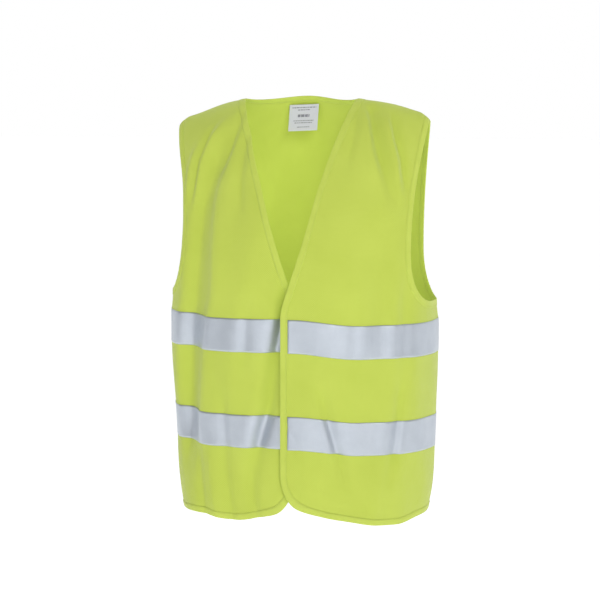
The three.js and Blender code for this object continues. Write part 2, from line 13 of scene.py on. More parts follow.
import bpy
import numpy as np
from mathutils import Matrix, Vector


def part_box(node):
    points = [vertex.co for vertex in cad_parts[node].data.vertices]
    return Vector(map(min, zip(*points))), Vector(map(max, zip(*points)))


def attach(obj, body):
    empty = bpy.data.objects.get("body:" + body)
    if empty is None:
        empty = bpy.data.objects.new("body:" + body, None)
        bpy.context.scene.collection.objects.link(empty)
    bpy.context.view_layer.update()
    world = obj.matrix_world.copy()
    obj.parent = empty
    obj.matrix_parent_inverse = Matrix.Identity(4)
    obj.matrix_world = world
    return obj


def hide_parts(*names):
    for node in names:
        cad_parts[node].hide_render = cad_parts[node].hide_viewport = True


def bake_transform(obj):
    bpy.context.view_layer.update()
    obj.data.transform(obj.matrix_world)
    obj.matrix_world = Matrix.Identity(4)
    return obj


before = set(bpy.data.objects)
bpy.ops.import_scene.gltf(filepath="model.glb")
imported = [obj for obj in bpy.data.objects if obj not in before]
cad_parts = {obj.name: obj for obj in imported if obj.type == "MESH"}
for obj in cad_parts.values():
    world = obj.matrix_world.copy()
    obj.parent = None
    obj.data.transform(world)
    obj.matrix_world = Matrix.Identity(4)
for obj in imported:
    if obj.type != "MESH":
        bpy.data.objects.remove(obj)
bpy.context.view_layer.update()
LOG = logging.getLogger("vest")
Array = np.ndarray
Term = tuple[float, float, float]  # (height, middle, width) of one bell
Colour = tuple[float, float, float, float]
TINY = 1e-12


class Side(Enum):
    """The panels of the vest, named from the wearer."""

    LEFT = "left_front"
    RIGHT = "right_front"
    BACK = "back"


class Spacing(Enum):
    """How a run of values is spread."""

    EVEN = "even"
    NEAR_LOW = "near low"


class Stuff(Enum):
    """What a piece is made of, and the material slot that it stands for."""

    KNIT = ("knit", "yellow_knit")
    BINDING = ("binding", "yellow_binding")
    BAND = ("band", "reflective_tape")
    THREAD = ("thread", "yellow_binding")
    BAND_THREAD = ("band thread", "reflective_tape")
    HOOK = ("hook", "closure_tape")
    LOOP = ("loop", "closure_tape")
    SATIN = ("satin", "label_cloth")
    PRINT = ("print", "label_cloth")

    @property
    def slot(self) -> str:
        """Name of the material slot."""
        return self.value[1]


# ---- Small numeric helpers ------------------------------------------------------------------------


def smooth(t: Array) -> Array:
    """Returns 3t^2 - 2t^3 with t held between 0 and 1."""
    t = np.clip(t, 0.0, 1.0)
    return t * t * (3.0 - 2.0 * t)


def unit(v: Array) -> Array:
    """Returns the vectors of the last axis scaled to length 1."""
    return v / np.maximum(np.linalg.norm(v, axis=-1, keepdims=True), TINY)


def bells(t: Array, terms: tuple[Term, ...]) -> Array:
    """Returns the sum of height * exp(-((t - middle) / width)^2) over the terms."""
    return sum(height * np.exp(-(((t - middle) / width) ** 2)) for height, middle, width in terms)


def graded(low: float, high: float, step: float, spacing: Spacing = Spacing.EVEN) -> Array:
    """Spreads values over a span, evenly or gathered towards its low end by a cosine.

    Args:
        low: first value.
        high: end of the span.
        step: usual distance between values.
        spacing: how they are spread.

    Returns:
        The values, without the span's end.
    """
    count = max(2, int(round((high - low) / step)))
    t = np.arange(count) / count
    if spacing is Spacing.NEAR_LOW:
        t = 1.0 - np.cos(t * math.pi / 2.0)
    return low + (high - low) * t


def along(points: Array) -> Array:
    """Returns the running length along a line of points, starting at 0."""
    return np.concatenate([[0.0], np.cumsum(np.linalg.norm(np.diff(points, axis=0), axis=1))])


# ---- Body form ------------------------------------------------------------------------------------


@dataclass(frozen=True)
class Fold:
    """One fold of the cloth: a ridge, or a hollow where height is negative.

    Its line is a smoothed run through path, whose points are (height above the hem, sideways
    place), from the top down. It lifts the cloth by height * exp(-(d / width)^2), where d is the
    distance from the line, width is near on the side towards +X and far on the other. The lift
    fades in over the first share of fade at the top and out over the last at the foot.
    """

    path: tuple[tuple[float, float], ...]
    height: float
    near: float
    far: float
    fade: tuple[float, float] = (0.25, 0.35)
    levels: int = 161
    reach: int = 12

    def raised(self, q: Array, w: Array) -> Array:
        """Works out the fold's lift; its line is averaged over reach levels to each side.

        Args:
            q: sideways places.
            w: cloth lengths above the hem.

        Returns:
            How far the fold lifts the cloth at each place.
        """
        knots = np.array(self.path)[::-1]
        low, high = knots[0, 0], knots[-1, 0]
        levels = np.linspace(low, high, self.levels)
        line = np.interp(levels, knots[:, 0], knots[:, 1])
        ease = np.hanning(2 * self.reach + 3)[1:-1]
        padded = np.pad(line, self.reach, mode="reflect", reflect_type="odd")
        line = np.convolve(padded, ease / ease.sum(), mode="valid")
        slope = np.interp(w, levels, np.gradient(line, levels))
        d = (q - np.interp(w, levels, line)) / np.sqrt(1.0 + slope**2)
        width = np.where(d > 0, self.near, self.far)
        t = (high - w) / (high - low)
        ends = smooth(t / max(self.fade[0], 1e-3)) * smooth((1.0 - t) / max(self.fade[1], 1e-3))
        return self.height * ends * np.exp(-((d / width) ** 2))


@dataclass(frozen=True)
class Hang:
    """How the worn cloth hangs uneven: bells across it, in metres, each taken over a span upwards.

    A rise moves cloth up, a droop down and a shift towards +X. A run is (start, length) of a smooth
    step, and a level is the (middle, width) of a bell up the cloth.
    """

    hem_rise: tuple[Term, ...] = ((0.0035, 0.05, 0.05), (0.0075, -0.15, 0.045))
    front_rise: tuple[Term, ...] = ((0.0055, 0.09, 0.038),)
    hem_level: tuple[float, float] = (0.0, 0.045)
    corner_droop: tuple[Term, ...] = ((0.0120, -0.006, 0.028),)
    corner_level: tuple[float, float] = (0.02, 0.045)
    seam_rise: float = 0.0100
    seam_run: tuple[float, float] = (0.160, 0.045)
    hitch: tuple[float, float] = (0.0085, 0.0040)
    hitch_runs: tuple[tuple[float, float], ...] = ((0.110, 0.10), (-0.11, 0.09))
    chest_run: tuple[float, float] = (0.56, 0.22)
    hem_share: float = 0.35
    hem_run: float = 0.09
    band_rise: tuple[Term, ...] = ((0.0020, 0.29, 0.07),)
    shoulder_droop: tuple[Term, ...] = (
        (0.0120, -0.182, 0.050),
        (0.0045, 0.185, 0.035),
        (0.0012, 0.0, 0.075),
    )
    shoulder_run: tuple[float, float] = (0.48, 0.16)
    neck_shift: tuple[Term, ...] = ((0.0050, -0.075, 0.045), (-0.0125, 0.075, 0.050))
    neck_run: tuple[float, float] = (0.34, 0.16)

    def moved(self, side: Side, x: Array, w: Array) -> Array:
        """Adds up the bells and steps.

        The bands and the hem are hitched up towards the wearer's right and the corners of the hem,
        the front hem dips where the fronts meet, both shoulder ends and the back neck droop, and the
        neck edges come in.

        Args:
            side: the panel.
            x: sideways places.
            w: cloth lengths above the hem.

        Returns:
            The cloth's shift at each place, as vectors.
        """
        chest = smooth((self.chest_run[0] - w) / self.chest_run[1])
        hem = self.hem_share + (1.0 - self.hem_share) * smooth(w / self.hem_run)
        hitch = sum(
            rise * smooth((start - x) / length)
            for rise, (start, length) in zip(self.hitch, self.hitch_runs)
        )
        up = hitch * chest * hem + bells(w, self.band_rise)
        low = bells(x, self.hem_rise)
        if side is not Side.BACK:
            low = low + bells(x, self.front_rise)
            up = up - bells(x, self.corner_droop) * bells(w, ((1.0, *self.corner_level),))
        low = low + self.seam_rise * smooth((x - self.seam_run[0]) / self.seam_run[1])
        up = up + low * bells(w, ((1.0, *self.hem_level),))
        droop = bells(x, self.shoulder_droop)
        up = up - droop * smooth((w - self.shoulder_run[0]) / self.shoulder_run[1])
        shift = bells(x, self.neck_shift) * smooth((w - self.neck_run[0]) / self.neck_run[1])
        return np.stack([shift, np.zeros_like(up), up], axis=-1)


@dataclass(frozen=True)
class BodyForm:
    """The worn body that carries the cloth, with its folds.

    The section at height h is x = H sin(a), y = D cos(a) (1 + s sin(a)^2), where H is the half width,
    D the depth, s the squareness and a the angle from the middle. Above the underarm the section
    shrinks on the superellipse y = D sin(p)^(2/n), h = ridge - rise (1 - cos(p)^(2/n)).
    """

    half_width: float
    hem_half_width: float
    underarm_half_width: float
    front_depth: float
    back_depth: float
    hem_z: float
    neck_half_width: float
    tip_x: float
    underarm: float
    bands: tuple[tuple[float, float], tuple[float, float]]
    layer_gap: float
    squareness: float = 0.25
    fullness: float = 1.8
    hem_draw_in: float = 0.005
    slope: float = 0.006
    cap_start: float = 0.178
    cap_drop: float = 0.010
    back_rise: float = 0.016
    taper: float = 0.100
    band_clearance: float = 0.010
    profile_share: float = 0.8
    profile_steps: int = 4001
    soft_reach: float = 0.033
    soft_span: tuple[float, float] = (0.13, 0.06)
    layer_flat: float = 0.024
    layer_fade: float = 0.060
    layer_top: float = 0.078
    layer_top_fade: float = 0.090
    crown: float = 0.04
    corner_fullness: float = 0.28
    waves: tuple[tuple[float, float, float, float], ...] = (
        (0.0016, 5.0, 9.0, 0.6),
        (0.0011, 9.0, -13.0, 2.0),
        (0.0006, 17.0, 21.0, 4.1),
    )
    sway: tuple[float, float] = (7.0, 1.1)
    calm_share: float = 0.35
    calm_run: tuple[float, float] = (0.5, 0.4)
    seam_share: float = 0.12
    seam_run: float = 0.030
    hang: Hang = Hang()
    folds: dict[Side, list[Fold]] = field(default_factory=dict)
    side_folds: tuple[Fold, ...] = ()

    @property
    def top(self) -> float:
        """Height of the neck end of the shoulder seam above the hem."""
        return -self.hem_z

    def half(self, h: Array) -> Array:
        """Works out the half width, which narrows towards the hem and the underarm.

        Args:
            h: heights above the hem, up to the underarm.

        Returns:
            The half width at each height.
        """
        low = np.clip((self.taper - h) / self.taper, 0, 1)
        band_top = self.bands[1][1]
        rise = self.underarm + self.band_clearance - band_top
        high = smooth((h - band_top + self.band_clearance) / rise)
        return (
            self.half_width
            - (self.half_width - self.hem_half_width) * low**2
            - (self.half_width - self.underarm_half_width) * high
        )

    def ridge(self, x: Array, is_back: bool) -> Array:
        """Works out the shoulder seam's height, carried on over the neck.

        The seam falls with the square of x, falls faster past the cap's start, and on the back
        rises over the neck by (1 - share^2)^2, where share is x over the neck's half width.

        Args:
            x: sideways places.
            is_back: whether the back's own rise over the neck counts.

        Returns:
            The height above the hem at each place.
        """
        across = np.abs(x)
        share = across / self.neck_half_width
        over = np.maximum(0.0, across - self.cap_start) / (self.tip_x - self.cap_start)
        seam = self.top + self.slope * (1.0 - share**2) - self.cap_drop * over**2
        bump = np.maximum(0.0, 1.0 - share**2) ** 2 if is_back else 0.0
        return seam + self.back_rise * bump

    def profile(self) -> tuple[Array, Array]:
        """Walks up the superellipse from the underarm to the ridge.

        Returns:
            The cloth lengths and the profile angles along it.
        """
        angle = np.linspace(math.pi / 2, 0.0, self.profile_steps)
        y = self.front_depth * self.profile_share * np.sin(angle) ** (2.0 / self.fullness)
        h = -(self.top - self.underarm) * (1.0 - np.cos(angle) ** (2.0 / self.fullness))
        return along(np.stack([y, h], axis=1)) + self.underarm, angle

    @property
    def cloth_top(self) -> float:
        """Length of cloth from the hem to the shoulder seam."""
        return float(self.profile()[0][-1])

    def climb(self, w: Array) -> tuple[Array, Array]:
        """Works out how deep and how far down the shoulder the cloth lies.

        The depth share is averaged over a few centimetres round the underarm, where the
        superellipse bends sharply.

        Args:
            w: cloth lengths above the hem.

        Returns:
            The depth share, and the climb share, which is 0 at the ridge and 1 at the underarm.
        """
        lengths, angles = self.profile()
        power = 2.0 / self.fullness
        step = 0.001
        reach = int(round(self.soft_reach / step))
        levels = np.arange(self.underarm - 0.15, self.cloth_top, step)
        share = np.where(
            levels <= self.underarm, 1.0, np.sin(np.interp(levels, lengths, angles)) ** power
        )
        ease = np.hanning(2 * reach + 3)[1:-1]
        soft = np.convolve(np.pad(share, reach, mode="edge"), ease / ease.sum(), mode="valid")
        angle = np.interp(w, lengths, angles)
        sharp = np.where(w <= self.underarm, 1.0, np.sin(angle) ** power)
        fall = np.where(w <= self.underarm, 1.0, 1.0 - np.cos(angle) ** power)
        mix = smooth((self.underarm + self.soft_span[0] - w) / self.soft_span[1])
        return np.interp(w, levels, soft) * mix + sharp * (1.0 - mix), fall

    def height(self, x: Array, w: Array, is_back: bool) -> Array:
        """Works out the height of a place on the form.

        Args:
            x: sideways places.
            w: cloth lengths above the hem.
            is_back: whether they lie on the back.

        Returns:
            The heights above the hem.
        """
        _, fall = self.climb(w)
        ridge = self.ridge(x, is_back)
        return np.where(w <= self.underarm, w, ridge - (ridge - self.underarm) * fall)

    def angle(self, x: Array, w: Array) -> Array:
        """Returns the angle round the body of the place at x and cloth length w."""
        half = self.half(np.minimum(w, self.underarm))
        return np.arcsin(np.clip(x / half, -1.0, 1.0))

    def base(self, side: Side, a: Array, w: Array) -> Array:
        """Works out the smooth form's points, with the two fronts held apart where they lap.

        Args:
            side: the panel.
            a: angles from the panel's middle.
            w: cloth lengths above the hem.

        Returns:
            The points.
        """
        is_back = side is Side.BACK
        level = np.minimum(w, self.underarm)
        share, _ = self.climb(w)
        half = self.half(level)
        x = half * np.sin(a)
        h = self.height(x, w, is_back)
        low = np.clip((self.taper - level) / self.taper, 0, 1)
        full = (self.back_depth if is_back else self.front_depth) - self.hem_draw_in * low**2
        depth = full * np.cos(a) * (1.0 + self.squareness * np.sin(a) ** 2) * share
        if not is_back:
            sign = 1.0 if side is Side.LEFT else -1.0
            apart = smooth(1.0 - (np.abs(x) - self.layer_flat) / self.layer_fade)
            over = h - self.bands[1][1] - self.layer_top
            below = smooth(1.0 - over / self.layer_top_fade)
            depth = depth + sign * self.layer_gap / 2.0 * apart * below * share
        return np.stack([x, depth if is_back else -depth, h + self.hem_z], axis=-1)

    def outward(self, side: Side, a: Array, w: Array) -> Array:
        """Works out smooth outward directions: the gradient of a squashed ball about the chest.

        Args:
            side: the panel.
            a: angles from the panel's middle.
            w: cloth lengths above the hem.

        Returns:
            The unit vectors.
        """
        point = self.base(side, a, w)
        h = point[..., 2] - self.hem_z
        depth = self.back_depth if side is Side.BACK else self.front_depth
        over = np.maximum(0.0, h - self.underarm)
        rise = over**2 / (over + self.crown) / (self.top - self.underarm) ** 2
        parts = [point[..., 0] / self.half_width**2, point[..., 1] / depth**2, rise]
        return unit(np.stack(parts, axis=-1))

    def lift(self, side: Side, a: Array, w: Array) -> Array:
        """Adds up the folds and the soft waves that go right round.

        The folds of a panel are placed by the length round the body from its middle, those shared
        by both sides of a seam by the length from the front's middle. A wave is a sine of the angle
        round the body and the cloth length, the first one times a second sine of the length.

        Args:
            side: the panel.
            a: angles from the panel's middle.
            w: cloth lengths above the hem.

        Returns:
            How far the cloth is raised at each place.
        """
        quarter = self.half_width * (1.0 + self.corner_fullness)
        q = self.half_width * np.sin(a) * (1.0 + self.corner_fullness * np.abs(np.sin(a)) ** 3)
        around = a if side is not Side.BACK else math.pi - a
        total = np.zeros(np.broadcast(a, w).shape)
        for fold in self.folds[side]:
            total = total + fold.raised(q, w)
        if side is Side.BACK:
            q = np.sign(a) * (2.0 * quarter - np.abs(q))
        for fold in self.side_folds:
            total = total + fold.raised(q, w)
        first, *others = (
            height * np.sin(turns * around + climb * w + phase)
            for height, turns, climb, phase in self.waves
        )
        wave = first * np.sin(self.sway[0] * w + self.sway[1]) + sum(others)
        calm = smooth((self.calm_run[0] - w) / self.calm_run[1])
        total = total + wave * (self.calm_share + (1.0 - self.calm_share) * calm)
        seam = smooth((self.cloth_top - w) / self.seam_run)
        return total * (self.seam_share + (1.0 - self.seam_share) * seam)

    def cloth(self, side: Side, a: Array, w: Array) -> Array:
        """Works out the folded cloth: the form moved out by the folds' lift, then hung uneven.

        Args:
            side: the panel.
            a: angles from the panel's middle.
            w: cloth lengths above the hem.

        Returns:
            The points of the cloth's middle.
        """
        a, w = np.broadcast_arrays(np.asarray(a, float), np.asarray(w, float))
        lift = self.lift(side, a, w)[..., None]
        points = self.base(side, a, w)
        return points + self.outward(side, a, w) * lift + self.hang.moved(side, points[..., 0], w)

    def normal(self, side: Side, a: Array, w: Array) -> Array:
        """Works out the folded cloth's normals by central differences.

        Args:
            side: the panel.
            a: angles from the panel's middle.
            w: cloth lengths above the hem.

        Returns:
            The unit normals, outward.
        """
        step_a, step_w = 0.004, 0.0008
        across = self.cloth(side, a + step_a, w) - self.cloth(side, a - step_a, w)
        up = self.cloth(side, a, w + step_w) - self.cloth(side, a, w - step_w)
        normal = unit(np.cross(across, up))
        facing = np.sum(normal * self.outward(side, a, w), axis=-1, keepdims=True)
        return normal * np.where(facing < 0, -1.0, 1.0)

    def place(self, side: Side, a: Array, w: Array, offset: Array | float) -> Array:
        """Works out points over the folded cloth.

        Args:
            side: the panel.
            a: angles from the panel's middle.
            w: cloth lengths above the hem.
            offset: heights over the cloth's middle, outward.

        Returns:
            The points.
        """
        a, w = np.broadcast_arrays(np.asarray(a, float), np.asarray(w, float))
        offset = np.broadcast_to(np.asarray(offset, float), a.shape)[..., None]
        return self.cloth(side, a, w) + self.normal(side, a, w) * offset

    def inward(self, side: Side, line: Array, towards: Array) -> Array:
        """Finds the step in (angle, length) that moves 1 m into the cloth from an edge.

        The step solves J s = o in the least squares sense, where J holds the cloth's two tangents
        and o is the unit vector in the cloth square to the line, turned towards the given place.

        Args:
            side: the panel.
            line: (n, 2) places along an edge.
            towards: (2,) place on the cloth's side of the edge.

        Returns:
            The (n, 2) steps.
        """
        a, w = line[:, 0], line[:, 1]
        step = 1e-4
        j_a = (self.base(side, a + step, w) - self.base(side, a - step, w)) / (2 * step)
        j_w = (self.base(side, a, w + step) - self.base(side, a, w - step)) / (2 * step)
        j_w = np.where(np.linalg.norm(j_w, axis=1, keepdims=True) < 1e-6, j_a * 0 + 1.0, j_w)
        run = np.gradient(line, axis=0)
        tangent = unit(j_a * run[:, :1] + j_w * run[:, 1:])
        normal = unit(np.cross(j_a, j_w))
        out = unit(np.cross(tangent, normal))
        aim = j_a * (towards[0] - a)[:, None] + j_w * (towards[1] - w)[:, None]
        out = out * (-1.0 if float(np.sum(out * aim)) < 0 else 1.0)
        jj = np.stack([j_a, j_w], axis=-1)
        gram = np.einsum("nij,nik->njk", jj, jj)
        return np.linalg.solve(gram, np.einsum("nij,ni->nj", jj, out)[..., None])[..., 0]


# ---- Cut of the panels ----------------------------------------------------------------------------


@dataclass(frozen=True)
class Cut:
    """The outlines of the panels on the body form, as sideways places for each cloth length."""

    form: BodyForm
    edge: dict[Side, float]
    neck_break: float = 0.315
    neck_bend: float = 0.012
    corner_width: float = 0.110
    corner_height: float = 0.075
    armhole_x: float = 0.177
    armhole_curve: float = 0.075
    back_neck_share: float = 0.27
    binding: float = 0.0092
    row: float = 0.0030
    armhole_row_share: float = 0.8
    hem_span: float = 0.02
    give: float = 0.8
    most_power: float = 8.0
    rounds: int = 40

    def _edge_x(self, h: Array, edge: float) -> Array:
        """Works out the free front edge: elliptical corner, straight run, bend and V neck.

        Args:
            h: heights above the hem.
            edge: sideways place of the straight run.

        Returns:
            The edge's sideways places.
        """
        drop = np.clip((self.corner_height - h) / self.corner_height, 0, 1)
        corner = self.corner_width * (1.0 - np.sqrt(np.maximum(0.0, 1.0 - drop**2)))
        slope = (self.form.neck_half_width - edge) / (self.form.top - self.neck_break)
        over = h - self.neck_break
        bend = self.neck_bend
        v = np.where(over > bend, over, np.where(over < -bend, 0, (over + bend) ** 2 / (4 * bend)))
        return edge + corner + slope * v

    def _armhole(self, h: Array) -> Array:
        """Works out the armhole edge: elliptical foot, then a slow flare to the shoulder.

        Args:
            h: heights above the hem.

        Returns:
            The edge's sideways places.
        """
        foot = self.form.underarm + self.armhole_curve
        drop = np.clip((foot - h) / self.armhole_curve, 0, 1)
        reach = self.form.underarm_half_width - self.armhole_x
        low = self.form.underarm_half_width - reach * np.sqrt(np.maximum(0.0, 1.0 - drop**2))
        tip = float(self.form.ridge(np.array(self.form.tip_x), False))
        flare = (self.form.tip_x - self.armhole_x) * (np.maximum(0, h - foot) / (tip - foot)) ** 2
        return np.where(h < foot, low, self.armhole_x + flare)

    def _settle(self, w: Array, outline: Callable[[Array], Array], is_back: bool) -> Array:
        """Finds x where x = outline(height of the place at x and w), by repeated averaging.

        Args:
            w: cloth lengths above the hem.
            outline: gives a sideways place for each height.
            is_back: whether they lie on the back.

        Returns:
            The sideways places.
        """
        x = np.full_like(w, self.form.half_width / 2)
        for _ in range(self.rounds):
            x = (x + outline(self.form.height(x, w, is_back))) / 2.0
        return x

    def front_edge(self, side: Side, w: Array) -> Array:
        """Returns the angles of the free front edge at cloth lengths w, for a front on the +X side."""
        x = self._settle(w, lambda h: self._edge_x(h, self.edge[side]), False)
        return self.form.angle(x, w)

    def outer_edge(self, w: Array, is_back: bool) -> Array:
        """Returns the angles of the side seam and armhole at cloth lengths w."""
        x = self._settle(w, self._armhole, is_back)
        return np.where(w <= self.form.underarm, math.pi / 2, self.form.angle(x, w))

    def columns(self, straight: float, low: Array, high: Array, count: int) -> Array:
        """Spreads each row's places between the panel's outlines.

        They start evenly spread from the straight edge to the side seam. Where an outline leaves
        those lines, the columns near it give way by a power of their share, so that those in the
        middle run straight past a fast turn of the outline.

        Args:
            straight: angle of the straight edge.
            low: each row's first angle.
            high: each row's last angle.
            count: columns.

        Returns:
            The angles, (rows, count).
        """
        full = math.pi / 2 - straight
        share = np.linspace(0.0, 1.0, count)[None, :]
        before, after = (low - straight)[:, None], (math.pi / 2 - high)[:, None]
        near = np.minimum(self.most_power, self.give * full / np.maximum(before, TINY))
        far = np.minimum(self.most_power, self.give * full / np.maximum(after, TINY))
        return straight + full * share + before * (1.0 - share) ** near - after * share**far

    def rows(self, has_corner: bool) -> Array:
        """Spreads a panel's rows, close together where an outline turns fast.

        Args:
            has_corner: whether the hem has a rounded corner.

        Returns:
            The cloth lengths of the rows.
        """
        form = self.form
        foot = self.corner_height if has_corner else self.hem_span
        top = form.underarm + self.armhole_curve
        row = self.row * self.armhole_row_share
        spans = [
            graded(0.0, foot, self.row, Spacing.NEAR_LOW if has_corner else Spacing.EVEN),
            graded(foot, form.underarm, self.row),
            graded(form.underarm, top, row, Spacing.NEAR_LOW),
            graded(top, form.cloth_top, self.row),
            [form.cloth_top],
        ]
        return np.concatenate(spans)

    def back_neck(self, x: Array) -> Array:
        """Works out the back neck edge.

        The edge's depth share is that at the centre times the square root of 1 - (x / neck)^2.

        Args:
            x: sideways places.

        Returns:
            The edge's cloth lengths.
        """
        share = self.back_neck_share * np.sqrt(
            np.maximum(0.0, 1.0 - (x / self.form.neck_half_width) ** 2)
        )
        lengths, angles = self.form.profile()
        target = np.arcsin(np.clip(share, 0, 1) ** (self.form.fullness / 2.0))
        return np.interp(-target, -angles, lengths)


# ---- Meshes ---------------------------------------------------------------------------------------


@dataclass
class MeshData:
    """Points, faces and a map in metres, gathered for one piece."""

    points: list[Array] = field(default_factory=list)
    faces: list[Array] = field(default_factory=list)
    maps: list[Array] = field(default_factory=list)
    count: int = 0

    def add(self, points: Array, faces: Array, flat: Array) -> None:
        """Adds a solid.

        Args:
            points: its points, with a last axis of 3.
            faces: quads that index them.
            flat: map places of the points, with a last axis of 2.
        """
        self.points.append(points.reshape(-1, 3))
        self.faces.append(faces.reshape(-1, faces.shape[-1]) + self.count)
        self.maps.append(flat.reshape(-1, 2))
        self.count += self.points[-1].shape[0]

    def build(self, name: str) -> bpy.types.Object:
        """Makes a smooth-shaded object of what was gathered.

        Args:
            name: the piece's name.

        Returns:
            The object, at the origin.
        """
        points = np.concatenate(self.points)
        flat = np.concatenate(self.maps)
        mesh = bpy.data.meshes.new(name)
        sizes = np.concatenate([np.full(f.shape[0], f.shape[1]) for f in self.faces])
        corners = np.concatenate([f.ravel() for f in self.faces]).astype(np.int32)
        mesh.vertices.add(points.shape[0])
        mesh.vertices.foreach_set("co", points.astype(np.float32).ravel())
        mesh.loops.add(corners.shape[0])
        mesh.loops.foreach_set("vertex_index", corners)
        mesh.polygons.add(sizes.shape[0])
        starts = np.concatenate([[0], np.cumsum(sizes)[:-1]]).astype(np.int32)
        mesh.polygons.foreach_set("loop_start", starts)
        mesh.update(calc_edges=True)
        mesh.validate()
        layer = mesh.uv_layers.new(name="cloth")
        where = np.empty(len(mesh.loops), np.int32)
        mesh.loops.foreach_get("vertex_index", where)
        layer.data.foreach_set("uv", flat[where].astype(np.float32).ravel())
        mesh.shade_smooth()
        obj = bpy.data.objects.new(name, mesh)
        bpy.context.scene.collection.objects.link(obj)
        return obj


def grid_faces(rows: int, columns: int, wrap: bool = False) -> Array:
    """Joins a grid of points.

    Args:
        rows: rows of points.
        columns: columns of points.
        wrap: whether the last column joins the first.

    Returns:
        The quads, (n, 4).
    """
    r = np.arange(rows - 1)[:, None]
    c = np.arange(columns if wrap else columns - 1)[None, :]
    nxt = (c + 1) % columns
    quads = [r * columns + c, r * columns + nxt, (r + 1) * columns + nxt, (r + 1) * columns + c]
    return np.stack(np.broadcast_arrays(*quads), axis=-1).reshape(-1, 4)


def outward_faces(points: Array, faces: Array) -> Array:
    """Turns the faces of a closed mesh outwards, by the sign of its volume.

    Args:
        points: (n, 3) points.
        faces: quads that index them, all turned the same way.

    Returns:
        The faces, reversed if the volume is negative.
    """
    a, b, c = (points[faces[:, i]] for i in range(3))
    d = points[faces[:, 3]]
    volume = float(np.sum(a * np.cross(b, c))) + float(np.sum(a * np.cross(c, d)))
    return faces if volume > 0 else faces[:, ::-1]


def slab(upper: Array, lower: Array, flat: Array) -> tuple[Array, Array, Array]:
    """Closes the space between two matching grids.

    Args:
        upper: (rows, columns, 3) points of one face.
        lower: (rows, columns, 3) points of the other.
        flat: (rows, columns, 2) map places.

    Returns:
        The solid's points, quads and map.
    """
    rows, columns = upper.shape[:2]
    points = np.concatenate([upper.reshape(-1, 3), lower.reshape(-1, 3)])
    top = grid_faces(rows, columns)
    under = top[:, ::-1] + rows * columns
    index = np.arange(rows * columns).reshape(rows, columns)
    ring = np.concatenate([index[0, :-1], index[:-1, -1], index[-1, :0:-1], index[:0:-1, 0]])
    after = np.roll(ring, -1)
    rim = np.stack([after, ring, ring + rows * columns, after + rows * columns], axis=1)
    faces = outward_faces(points, np.concatenate([top, under, rim]))
    return points, faces, np.concatenate([flat.reshape(-1, 2)] * 2)


def tube(sections: Array, flat: Array) -> tuple[Array, Array, Array]:
    """Carries a closed profile along a path and closes both ends.

    Args:
        sections: (stations, profile points, 3), the profile an even number of points.
        flat: (stations, profile points, 2) map places.

    Returns:
        The solid's points, quads and map.
    """
    stations, count = sections.shape[:2]
    points = sections.reshape(-1, 3)
    walls = grid_faces(stations, count, wrap=True)
    i = np.arange(count // 2 - 1)
    cap = np.stack([i, i + 1, count - 2 - i, count - 1 - i], axis=1)
    last = (stations - 1) * count
    faces = np.concatenate([walls, cap[:, ::-1], cap + last])
    return points, outward_faces(points, faces), flat


# ---- Finishes -------------------------------------------------------------------------------------


